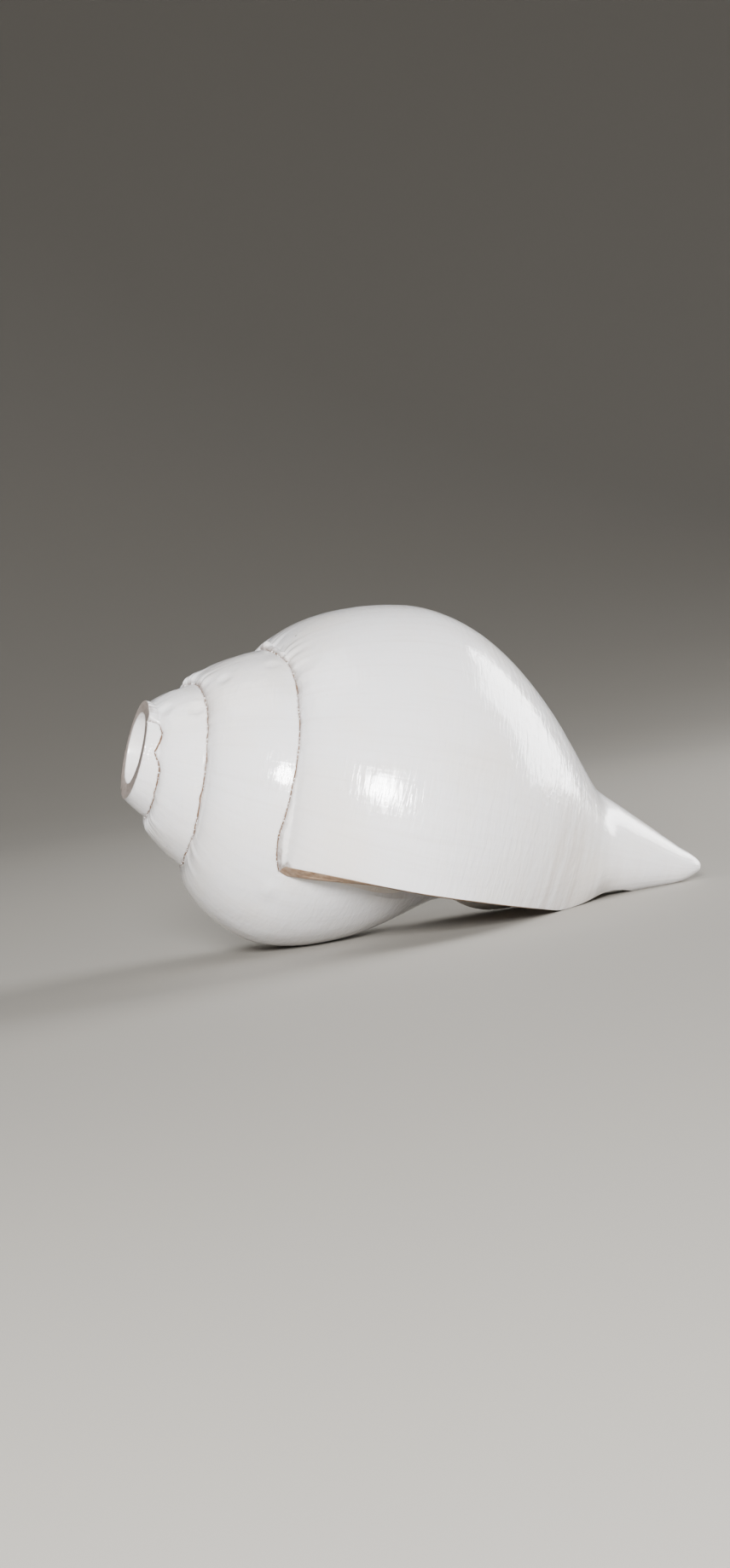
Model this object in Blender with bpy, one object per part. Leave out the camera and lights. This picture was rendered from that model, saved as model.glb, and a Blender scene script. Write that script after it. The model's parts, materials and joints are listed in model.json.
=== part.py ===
"""Blowing conch: one closed spiral shell, sawn and bored at the apex end.

The shell is described in its own frame: w runs along the coiling axis from
the sawn rim (w = 0) to the tip of the canal, r is the distance from that
axis and psi the angle about it.  Age counts turns back from the outer lip.
Lengths are in millimetres until the vertices are written in metres.
"""
import math

import bmesh
import bpy
import numpy as np
from mathutils import Matrix, Vector

NAME = "conch_shell"

# Resolution: rows in one turn and columns across each band of the shell.
ROWS_PER_TURN = 32
SPIRE_COLUMNS = 5
COLUMELLA_COLUMNS = 20
SPIRE_TURNS = 4.0
CHANNEL_TURNS = 2.12

# Growth, read at these ages (turns back from the lip).
AGES = (0.0, 0.35, 0.6, 0.85, 1.1, 1.35, 1.85, 2.35, 3.0, 4.0, 5.0)
SUTURE_W = (34.3, 26.8, 21.3, 16.5, 12.5, 8.9, 4.3, 0.4, -4.6, -10.0, -14.0)
SHOULDER_RISE = (32.2, 34.9, 28.9, 23.2, 24.6, 26.8, 19.2, 14.4, 11.0, 8.0, 6.0)
PEAK_RADIUS = (56.3, 50.4, 44.8, 41.1, 38.8, 34.0, 27.7, 21.3, 15.4, 10.0, 6.5)
SHOULDER_POWER = (1.58, 1.59, 1.42, 1.65, 1.67, 1.46, 1.46, 1.26, 1.30, 1.30, 1.30)
BASE_LENGTH = (66.5, 66.2, 66.4, 64.6, 54.5, 50.0, 40.0, 30.0, 22.0, 15.0, 11.0)

LENGTH = 152.2
LIP_ANGLE = math.radians(-33.0)
CANAL_ROUND = 5.5
CANAL_END = 2.1
CANAL_SLOPE = 0.398
CANAL_FLARE = -1.1
CANAL_BLEND = 10.0
TIP_LIFT = 0.9

WALL = 3.4
TIP_WALL = 1.3
SUTURE_STEP = 0.35
LIP_STEP = 2.0
LIP_HEIGHT = -20.75
LIP_RISE = 0.052
LIP_CANAL_RISE = 6.8
LIP_SLOT_ANGLE = math.radians(-72.0)
COLUMELLA_SLOT_ANGLE = math.radians(-112.0)
LIP_FLARE = 1.6
PLAIT_HEIGHT = 1.3
PLAIT_PITCH = 8.0
PLAITS = 3

SAW_W = -1.35
SAW_TILT = math.radians(0.0)
RIM_BORE_RADIUS = 8.8
BORE_END_RADIUS = 7.8
BORE_DEPTH = 26.0
BORE_SHIFT = 0.7

# Rest pose: turn about the shell's own axis, then pitch of the axis.
REST_ROLL = math.radians(2.743)
REST_PITCH = math.radians(20.444)


def knots(values, at):
    """Smooth cubic through (AGES, values), read at the ages in at."""
    x = np.asarray(AGES, float)
    y = np.asarray(values, float)
    q = np.clip(np.asarray(at, float), -1.2, x[-1])
    step = np.diff(x)
    rate = np.diff(y) / step
    slope = np.empty_like(y)
    slope[1:-1] = (rate[:-1] * step[1:] + rate[1:] * step[:-1]) / (step[:-1] + step[1:])
    slope[0] = 1.5 * rate[0] - 0.5 * slope[1]
    slope[-1] = 1.5 * rate[-1] - 0.5 * slope[-2]
    k = np.clip(np.searchsorted(x, q, side="right") - 1, 0, len(x) - 2)
    t = np.maximum((q - x[k]) / step[k], 0.0)
    inside = ((2 * t**3 - 3 * t**2 + 1) * y[k] + (t**3 - 2 * t**2 + t) * step[k] * slope[k]
              + (3 * t**2 - 2 * t**3) * y[k + 1] + (t**3 - t**2) * step[k] * slope[k + 1])
    return inside + np.minimum(q - x[0], 0.0) * slope[0]


def smooth(x, low, high):
    """Smooth step from 0 at low to 1 at high."""
    t = np.clip((np.asarray(x, float) - low) / (high - low), 0.0, 1.0)
    return t * t * (3.0 - 2.0 * t)


class Growth:
    """Radius of the shell's outer surface for any age and any w."""

    def __init__(self, rows):
        self.rows = rows
        self.first = -rows
        self.last = int(round(AGES[-1] * rows))
        self.age = np.arange(self.first, self.last + 1) / rows
        self.suture_w = knots(SUTURE_W, self.age)
        self.peak_w = self.suture_w + knots(SHOULDER_RISE, self.age)
        self.peak_r = knots(PEAK_RADIUS, self.age)
        self.power = knots(SHOULDER_POWER, self.age)
        self.base = knots(BASE_LENGTH, self.age)
        self.suture_r = np.empty_like(self.age)
        for i in range(len(self.age) - 1, -1, -1):
            older = i + rows
            if older < len(self.age):
                self.suture_r[i] = self._body(self.age[older], self.suture_w[i])
            else:
                self.suture_r[i] = 0.75 * self.peak_r[i]

    def at(self, table, age):
        """Value of one of the tables at any age."""
        return np.interp(age, self.age, table)

    def _body(self, age, w):
        ws = self.at(self.suture_w, age)
        rs = self.at(self.suture_r, age)
        wp = self.at(self.peak_w, age)
        rp = self.at(self.peak_r, age)
        power = self.at(self.power, age)
        base = self.at(self.base, age)
        x = np.clip((w - ws) / (wp - ws), 0.0, 1.0)
        rise = (1.0 - (1.0 - x)**power)**(1.0 / power)
        fall = np.cos(0.5 * math.pi * np.clip((w - wp) / base, 0.0, 1.0))
        return np.where(w < wp, rs + (rp - rs) * rise, rp * fall)

    def canal(self, w):
        """Radius of the drawn-out canal."""
        x = np.clip(LENGTH - w, 0.0, None)
        end = CANAL_END * np.sqrt(1.0 - np.clip(1.0 - x / CANAL_ROUND, 0.0, 1.0)**2)
        return end + CANAL_SLOPE * x + CANAL_FLARE * (x / 50.0)**3

    def outer(self, age, w):
        """Outer radius with canal, flare of the lip and the raised edge."""
        body = self._body(age, w)
        wp = self.at(self.peak_w, age)
        reach = np.clip((w - wp) / (0.6 * (LENGTH - wp)), 0.0, 1.0)
        canal = self.canal(w) * reach * reach * (3.0 - 2.0 * reach)
        both = (np.maximum(body, 0.0)**CANAL_BLEND + canal**CANAL_BLEND)**(1.0 / CANAL_BLEND)
        near_lip = np.exp(-(np.clip(age, 0.0, None) / 0.06)**2)
        flare = LIP_FLARE * np.exp(-((w - 119.0) / 6.5)**2) * near_lip
        gap = np.clip(w - self.at(self.suture_w, age), 0.0, None)
        edge = SUTURE_STEP + LIP_STEP * np.exp(-np.clip(age, 0.0, None) / 0.05)
        return both + flare + edge * (1.0 - np.exp(-gap / 0.35)) * np.exp(-gap / 9.0)

    def columella(self, age, w):
        """Radius of the central pillar with its winding plaits."""
        thick = 4.6 + 0.05 * w
        slim = 0.45 * self.canal(w)
        pillar = (thick**-4.0 + np.maximum(slim, 1e-3)**-4.0)**-0.25
        turn = (w - (self.tail(age) - 14.0)) / PLAIT_PITCH
        inside = smooth(turn, -PLAITS - 0.5, -PLAITS) * (1.0 - smooth(turn, -0.5, 0.0))
        ridge = 0.5 - 0.5 * np.cos(2.0 * math.pi * turn)
        fade = smooth(age, 0.02, 0.14) * (1.0 - 0.6 * smooth(age, 0.7, 1.6))
        return pillar + PLAIT_HEIGHT * ridge * inside * fade

    def tail(self, age):
        """w of the front end of the channel: the tip at the lip, less inside."""
        deep = self.at(self.peak_w, age) + 0.72 * self.at(self.base, age)
        start = self.at(self.peak_w, 0.0) + 0.72 * self.at(self.base, 0.0)
        reach = np.clip(1.0 - age / 0.45, 0.0, 1.0)
        return deep + (LENGTH - start) * reach**1.5

    def wall(self, age, w):
        """Radial thickness of the wall, kept even where the profile is steep."""
        step = 0.5
        slope = (self.outer(age, w + step) - self.outer(age, w - step)) / (2.0 * step)
        even = WALL * (1.0 - 0.25 * smooth(age, 0.8, 2.0))
        even = even + (TIP_WALL - even) * smooth(w, 100.0, 143.0)
        return even * np.minimum(np.sqrt(1.0 + slope * slope), 1.7)

    def inner(self, age, w):
        """Radius of the channel's inner side: older whorl, then columella."""
        older = self._body(age + 1.0, w)
        pillar = self.columella(age, w)
        deep = (np.maximum(older, 0.1)**6.0 + pillar**6.0)**(1.0 / 6.0)
        shown = self.outer(1.0, w)
        mouth = (1.0 - smooth(age, 0.0, 0.10)) * smooth(w, 52.0, 90.0)
        return deep + (shown - deep) * np.where(age <= 0.0, 1.0, mouth)


def lip_shift(growth, w):
    """Turn of the lip edge from LIP_ANGLE: the ground edge lies in one plane."""
    height = LIP_HEIGHT + LIP_RISE * (w - SUTURE_W[0]) + LIP_CANAL_RISE * smooth(w, 106.0, 131.0)
    steep = math.sin(LIP_SLOT_ANGLE)
    angle = np.arcsin(np.clip(height / np.maximum(growth.outer(0.03, w), 0.1), steep, 0.0))
    return (angle - LIP_ANGLE) * smooth(w, SUTURE_W[0], SUTURE_W[0] + 2.5)


def columella_shift(w):
    """The same for the edge on the columella's side of the mouth."""
    return (COLUMELLA_SLOT_ANGLE - LIP_ANGLE) * smooth(w, 44.0, 122.0)


def corner_w(growth, age):
    """w where the channel's outer wall leaves the older whorl."""
    w = growth.at(growth.suture_w, age) + np.linspace(0.8, 9.0, 83)
    room = growth.outer(age, w) - growth.wall(age, w) - growth.inner(age, w)
    clear = np.nonzero(room > 0.0)[0]
    return float(w[clear[0]]) if len(clear) else float(w[-1])


def spread(count, ends, dense):
    """Fractions from 0 to 1, closer together between the dense pair."""
    x = np.linspace(0.0, 1.0, 2001)
    weight = 1.0 + 1.3 * smooth(x, dense[0] - 0.08, dense[0]) * (1.0 - smooth(x, dense[1], dense[1] + 0.08))
    weight = weight + ends * (np.exp(-x / 0.04) + np.exp(-(1.0 - x) / 0.04))
    total = np.concatenate(([0.0], np.cumsum(0.5 * (weight[1:] + weight[:-1]))))
    return np.interp(np.linspace(0.0, total[-1], count + 1), total, x)


def shell_point(w, r, psi):
    """Point in the shell's own frame, side shown toward -Y."""
    lift = TIP_LIFT * float(smooth(w, LENGTH - 7.0, LENGTH))
    return (w, -r * math.cos(psi), r * math.sin(psi) + lift)


class ShellMesh:
    """Vertices and faces of the closed shell before sawing and boring."""

    def __init__(self, rows, spire, pillar, turns, channel):
        self.n = rows
        self.spire = spire
        self.pillar = pillar
        self.last = int(round(turns * rows))
        self.deep = int(round(channel * rows))
        self.growth = Growth(rows)
        self.verts = []
        self.faces = []
        self.fractions = spread(pillar, 1.2, (0.22, 0.55))
        self.corners = [corner_w(self.growth, k / rows) for k in range(-rows, self.deep + 1)]

    def corner(self, row):
        return self.corners[row + self.n]

    def add(self, w, r, psi):
        self.verts.append(shell_point(float(w), float(r), float(psi)))
        return len(self.verts) - 1

    def quad(self, a, b, c, d):
        ring = []
        for v in (a, b, c, d):
            if v not in ring:
                ring.append(v)
        if len(ring) > 2:
            self.faces.append(tuple(ring))

    def outside_rows(self):
        """Spire band and, for the last turn, the body and canal columns."""
        g = self.growth
        n = self.n
        self.band = {}
        self.body = {}
        self.tip = self.add(LENGTH, 0.0, 0.0)
        starts = {}
        for i in range(self.last, -1, -1):
            age = i / n
            ws = float(g.at(g.suture_w, age))
            wb = float(g.at(g.suture_w, age - 1.0))
            psi = LIP_ANGLE + 2.0 * math.pi * age
            row = []
            for j in range(self.spire + 1):
                f = j / self.spire
                f = f * (0.62 + 0.38 * f)
                w = ws + (wb - ws) * f
                if j == 0:
                    row.append(self.add(w, g.at(g.suture_r, age), psi))
                    starts[i] = row[0]
                    continue
                if j == self.spire and i >= n:
                    row.append(None)
                    continue
                turn = psi
                if i < n:
                    turn = psi + lip_shift(g, w) * (1.0 - age)
                    if w > 44.0:
                        turn += columella_shift(w) * age
                row.append(self.add(w, g.outer((turn - LIP_ANGLE) / (2.0 * math.pi), w), turn))
            self.band[i] = row
        for i in range(n, self.last + 1):
            self.band[i][-1] = starts[i - n]
        for i in range(0, n + 1):
            age = i / n
            psi = LIP_ANGLE + 2.0 * math.pi * age
            first = self.corner(i - n)
            row = [self.band[i][-1]]
            for j, f in enumerate(self.fractions[:-1]):
                w = first + (LENGTH - first) * f
                turn = psi + lip_shift(g, w) * (1.0 - age) + columella_shift(w) * age
                own = (turn - LIP_ANGLE) / (2.0 * math.pi)
                row.append(self.add(w, g.outer(own, w) if i < n else g.inner(0.0, w), turn))
            row.append(self.tip)
            self.body[i] = row

    def inside_rows(self):
        """Channel rows: inner side on the columella, outer side on the wall."""
        g = self.growth
        n = self.n
        lip = self.band[0][:-1] + self.body[0]
        lip_w = [self.verts[v][0] for v in lip]
        share = [(w - lip_w[0]) / (LENGTH - lip_w[0]) for w in lip_w]
        self.inner_side = {}
        self.outer_side = {}
        for k in range(0, self.deep + 1):
            age = k / n
            psi = LIP_ANGLE + 2.0 * math.pi * age
            start = self.corner(k)
            end = float(g.tail(age))
            fade = float(np.clip(1.0 - age / 0.45, 0.0, 1.0))**2
            if k == 0:
                inner = self.body[n][1:]
            else:
                inner = []
                for f in self.fractions:
                    w = start + (end - start) * f
                    turn = psi + columella_shift(w) * fade
                    inner.append(self.add(w, g.inner(age, w), turn))
            outer = [inner[0]]
            for s in share[1:-1]:
                w = start + (end - start) * s
                base = float(g.inner(age, w)) if k else float(g.columella(0.0, w))
                room = float(g.outer(max(age, 0.0), w) - g.wall(age, w)) - base
                close = max(0.0, 1.0 - s**7.0)**0.5 if k else 1.0
                room = max(room, 0.25) * close
                shift = lip_shift(g, w) + (columella_shift(w) - lip_shift(g, w)) * (s**60.0 if k else 0.0)
                outer.append(self.add(w, base + room, psi + shift * fade))
            outer.append(inner[-1])
            self.inner_side[k] = inner
            self.outer_side[k] = outer
        self.lip = lip

    def skin(self):
        """Join the rows into one closed surface."""
        n = self.n
        for i in range(0, self.last):
            for j in range(self.spire):
                a, b = self.band[i], self.band[i + 1]
                self.quad(a[j], a[j + 1], b[j + 1], b[j])
        for i in range(0, n):
            a, b = self.body[i], self.body[i + 1]
            for j in range(len(a) - 1):
                self.quad(a[j], a[j + 1], b[j + 1], b[j])
        for k in range(0, self.deep):
            a, b = self.inner_side[k], self.inner_side[k + 1]
            for j in range(len(a) - 1):
                self.quad(a[j], a[j + 1], b[j + 1], b[j])
            a, b = self.outer_side[k], self.outer_side[k + 1]
            for j in range(len(a) - 1):
                self.quad(a[j + 1], a[j], b[j], b[j + 1])
        inner = self.outer_side[0]
        for j in range(len(self.lip) - 1):
            self.quad(self.lip[j + 1], self.lip[j], inner[j], inner[j + 1])
        loop = self.inner_side[self.deep] + self.outer_side[self.deep][-2:0:-1]
        middle = np.mean([self.verts[v] for v in loop], axis=0)
        self.verts.append(tuple(float(c) for c in middle))
        centre = len(self.verts) - 1
        for j in range(len(loop)):
            self.faces.append((loop[j], loop[(j + 1) % len(loop)], centre))
        self.verts.append((-14.0, 0.0, 0.0))
        apex = len(self.verts) - 1
        for i in range(self.last - n, self.last):
            self.faces.append((self.band[i][0], self.band[i + 1][0], apex))
        end = self.band[self.last]
        for j in range(self.spire):
            self.faces.append((end[j], end[j + 1], apex))

    def build(self):
        self.outside_rows()
        self.inside_rows()
        self.skin()
        return self.verts, self.faces


def clear_scene():
    for item in list(bpy.data.objects):
        bpy.data.objects.remove(item, do_unlink=True)


def make_material(name, colour, roughness):
    material = bpy.data.materials.new(name)
    material.use_nodes = True
    shader = material.node_tree.nodes["Principled BSDF"]
    shader.inputs["Base Color"].default_value = (*colour, 1.0)
    shader.inputs["Roughness"].default_value = roughness
    return material


def make_object(name, verts, faces):
    mesh = bpy.data.meshes.new(name)
    mesh.from_pydata([tuple(c * 0.001 for c in v) for v in verts], [], faces)
    mesh.validate()
    work = bmesh.new()
    work.from_mesh(mesh)
    bmesh.ops.triangulate(work, faces=work.faces[:])
    bmesh.ops.recalc_face_normals(work, faces=work.faces[:])
    work.to_mesh(mesh)
    work.free()
    item = bpy.data.objects.new(name, mesh)
    bpy.context.scene.collection.objects.link(item)
    return item


def make_cutter(name):
    """Saw cut and tapered bore as one turned solid about the axis."""
    sides = 40
    profile = ((-30.0, 0.0), (-30.0, 40.0), (0.0, 40.0), (0.0, RIM_BORE_RADIUS + 0.5),
               (0.5, RIM_BORE_RADIUS), (BORE_DEPTH, BORE_END_RADIUS), (BORE_DEPTH + 3.0, 0.0))
    tilt = Matrix.Rotation(SAW_TILT, 4, "Z")
    place = Matrix.Translation((SAW_W, 0.0, 0.0)) @ tilt
    verts = [(profile[0][0], 0.0, 0.0)]
    rings = []
    for w, r in profile[1:-1]:
        ring = []
        for j in range(sides):
            angle = 2.0 * math.pi * (j + 0.37) / sides
            lift = BORE_SHIFT if r < 20.0 else 0.0
            verts.append((w, -r * math.cos(angle), r * math.sin(angle) + lift))
            ring.append(len(verts) - 1)
        rings.append(ring)
    verts.append((profile[-1][0], 0.0, 0.0))
    faces = []
    for j in range(sides):
        k = (j + 1) % sides
        faces.append((0, rings[0][j], rings[0][k]))
        for a, b in zip(rings[:-1], rings[1:]):
            faces.append((a[j], b[j], b[k], a[k]))
        faces.append((len(verts) - 1, rings[-1][k], rings[-1][j]))
    cutter = make_object(name, [place @ Vector(v) for v in verts], faces)
    cutter.hide_render = True
    cutter.display_type = "WIRE"
    return cutter


def rest(item):
    """Turn the finished shell into its rest pose, centred on the floor."""
    roll = Matrix.Rotation(REST_ROLL, 4, "X")
    pitch = Matrix.Rotation(REST_PITCH, 4, "Y")
    item.data.transform(pitch @ roll)
    points = [v.co for v in item.data.vertices]
    low = Vector(min(p[k] for p in points) for k in range(3))
    high = Vector(max(p[k] for p in points) for k in range(3))
    item.data.transform(Matrix.Translation((-(low.x + high.x) / 2, -(low.y + high.y) / 2, -low.z)))


def main():
    clear_scene()
    builder = ShellMesh(ROWS_PER_TURN, SPIRE_COLUMNS, COLUMELLA_COLUMNS, SPIRE_TURNS, CHANNEL_TURNS)
    verts, faces = builder.build()
    shell = make_object(NAME, verts, faces)
    cutter = make_cutter("bore_cutter")
    cut = shell.modifiers.new("bore", "BOOLEAN")
    cut.operation = "DIFFERENCE"
    cut.solver = "EXACT"
    cut.object = cutter
    graph = bpy.context.evaluated_depsgraph_get()
    finished = bpy.data.meshes.new_from_object(shell.evaluated_get(graph))
    shell.modifiers.clear()
    shell.data = finished
    shell.data.name = NAME
    bpy.data.objects.remove(cutter, do_unlink=True)
    work = bmesh.new()
    work.from_mesh(shell.data)
    bmesh.ops.remove_doubles(work, verts=work.verts[:], dist=0.00005)
    bmesh.ops.dissolve_degenerate(work, edges=work.edges[:], dist=0.00005)
    bmesh.ops.triangulate(work, faces=work.faces[:])
    bmesh.ops.recalc_face_normals(work, faces=work.faces[:])
    work.to_mesh(shell.data)
    work.free()
    rest(shell)
    shell.data.materials.clear()
    shell.data.materials.append(make_material("polished shell", (0.86, 0.84, 0.84), 0.16))
    for polygon in shell.data.polygons:
        polygon.use_smooth = True


main()
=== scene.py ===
"""Polished blowing conch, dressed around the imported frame.

A sacred chank, scraped and polished white, with its lip ground straight and its
spire sawn flat and bored.  The skin of the shell is worked out row by row from
the same growth rule as the solid, but fine enough for its seam, ground edges
and growth relief to be real geometry.
"""
import json
import logging
import math
from dataclasses import dataclass, field
from enum import Enum
from typing import Any

import bmesh
import bpy
import numpy as np
from mathutils import Matrix, Vector

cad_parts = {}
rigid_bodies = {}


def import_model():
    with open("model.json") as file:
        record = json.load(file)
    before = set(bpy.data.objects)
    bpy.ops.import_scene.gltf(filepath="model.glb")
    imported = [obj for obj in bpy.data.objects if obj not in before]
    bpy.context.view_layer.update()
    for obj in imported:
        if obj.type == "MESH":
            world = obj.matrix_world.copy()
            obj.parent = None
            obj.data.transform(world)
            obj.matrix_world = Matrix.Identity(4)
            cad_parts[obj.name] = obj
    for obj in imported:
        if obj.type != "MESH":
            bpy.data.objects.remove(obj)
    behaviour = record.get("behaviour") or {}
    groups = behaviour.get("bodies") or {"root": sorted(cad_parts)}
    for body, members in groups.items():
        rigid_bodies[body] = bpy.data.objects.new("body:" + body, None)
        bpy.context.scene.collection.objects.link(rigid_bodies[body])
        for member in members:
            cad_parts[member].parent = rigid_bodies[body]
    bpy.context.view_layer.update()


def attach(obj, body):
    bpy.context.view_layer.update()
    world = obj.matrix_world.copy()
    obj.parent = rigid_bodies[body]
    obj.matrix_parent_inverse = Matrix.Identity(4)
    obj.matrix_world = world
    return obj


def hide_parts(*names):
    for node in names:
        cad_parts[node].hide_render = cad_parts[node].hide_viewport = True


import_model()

LOG = logging.getLogger("conch")
NODE = "conch_shell"
BODY = "root"
MM = 0.001
Array = np.ndarray


class Zone(Enum):
    """Faces of the shell that are finished differently."""

    SKIN = 0
    INSIDE = 1
    GROUND = 2


# Small tools


def linear(colour: str) -> tuple[float, float, float, float]:
    """Linear RGBA of an sRGB hex colour such as "#E9E6E6"."""
    parts = [int(colour[k:k + 2], 16) / 255.0 for k in (1, 3, 5)]
    return (*[c / 12.92 if c <= 0.04045 else ((c + 0.055) / 1.055)**2.4 for c in parts], 1.0)


def smooth(x: Any, low: float, high: float) -> Array:
    """Smooth step from 0 at low to 1 at high."""
    t = np.clip((np.asarray(x, float) - low) / (high - low), 0.0, 1.0)
    return t * t * (3.0 - 2.0 * t)


def add_node(tree: bpy.types.NodeTree, kind: str, settings: dict[str, Any] | None = None,
             inputs: dict[Any, Any] | None = None) -> bpy.types.Node:
    """Add a node with its settings and links.

    Args:
        tree: the node tree that takes the node.
        kind: the node's type.
        settings: its properties by name.
        inputs: values or output sockets, by input name or number.

    Returns:
        The new node.
    """
    node = tree.nodes.new(kind)
    for name, value in (settings or {}).items():
        setattr(node, name, value)
    for key, value in (inputs or {}).items():
        if isinstance(value, bpy.types.NodeSocket):
            tree.links.new(value, node.inputs[key])
        else:
            node.inputs[key].default_value = value
    return node


def new_tree(name: str, inputs: dict[str, tuple[str, Any]]) -> tuple[bpy.types.NodeTree, Any, Any]:
    """Start a Geometry Nodes tree.

    Args:
        name: name of the tree.
        inputs: socket type and default of each named input after the geometry.

    Returns:
        The tree, its input node and its output node.
    """
    tree = bpy.data.node_groups.new(name, "GeometryNodeTree")
    tree.interface.new_socket("Geometry", in_out="INPUT", socket_type="NodeSocketGeometry")
    tree.interface.new_socket("Geometry", in_out="OUTPUT", socket_type="NodeSocketGeometry")
    for label, (kind, value) in inputs.items():
        socket = tree.interface.new_socket(label, in_out="INPUT", socket_type=kind)
        if value is not None:
            socket.default_value = value
    return tree, add_node(tree, "NodeGroupInput"), add_node(tree, "NodeGroupOutput")


def run_tree(item: bpy.types.Object, tree: bpy.types.NodeTree, values: dict[str, Any]) -> bpy.types.Object:
    """Put a tree on an object, set its inputs and keep the result as a plain mesh.

    Args:
        item: object that carries the tree; it is replaced.
        tree: the Geometry Nodes tree.
        values: input values by socket name.

    Returns:
        A new mesh object of the same name at the origin.
    """
    modifier = item.modifiers.new("build", "NODES")
    modifier.node_group = tree
    for socket in tree.interface.items_tree:
        if socket.item_type == "SOCKET" and socket.in_out == "INPUT" and socket.name in values:
            modifier[socket.identifier] = values[socket.name]
    return plain_mesh(item)


def finish_tree(tree: bpy.types.NodeTree, end: bpy.types.Node, made: Any, material: Any) -> None:
    """End a tree in real faces with a material.

    Args:
        tree: the Geometry Nodes tree.
        end: its output node.
        made: output socket with the finished geometry.
        material: output socket with the material.
    """
    whole = add_node(tree, "GeometryNodeRealizeInstances", None, {0: made})
    dressed = add_node(tree, "GeometryNodeSetMaterial", None,
                       {"Geometry": whole.outputs[0], "Material": material})
    tree.links.new(dressed.outputs[0], end.inputs[0])


def plain_mesh(item: bpy.types.Object) -> bpy.types.Object:
    """Replace an object by one that holds its evaluated mesh and no modifiers.

    Args:
        item: object with modifiers; it is removed.

    Returns:
        A new object of the same name.
    """
    graph = bpy.context.evaluated_depsgraph_get()
    mesh = bpy.data.meshes.new_from_object(item.evaluated_get(graph))
    name = item.name
    bpy.data.objects.remove(item, do_unlink=True)
    result = bpy.data.objects.new(name, mesh)
    result.name = name
    mesh.name = name
    bpy.context.scene.collection.objects.link(result)
    return result


def link_mesh(name: str, verts: Array, faces: list[tuple[int, ...]],
              edges: list[tuple[int, int]] | None = None) -> bpy.types.Object:
    """Make an object of a new mesh and link it to the scene.

    Args:
        name: name of the object and of its mesh.
        verts: places of the vertices in metres.
        faces: vertex numbers of each face.
        edges: vertex numbers of each loose edge.

    Returns:
        The new object.
    """
    mesh = bpy.data.meshes.new(name)
    mesh.from_pydata([tuple(v) for v in verts], edges or [], faces)
    item = bpy.data.objects.new(name, mesh)
    bpy.context.scene.collection.objects.link(item)
    return item


def new_material(name: str) -> tuple[bpy.types.Material, bpy.types.NodeTree]:
    """Start a material with no nodes.

    Args:
        name: what the real material is.

    Returns:
        The material and its node tree.
    """
    material = bpy.data.materials.new(name)
    material.use_nodes = True
    material.node_tree.nodes.clear()
    return material, material.node_tree


def point_attribute(mesh: bpy.types.Mesh, name: str, values: Array) -> None:
    """Store one number on each vertex of a mesh."""
    layer = mesh.attributes.new(name, "FLOAT", "POINT")
    layer.data.foreach_set("value", np.asarray(values, np.float32))


# Finishes


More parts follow.
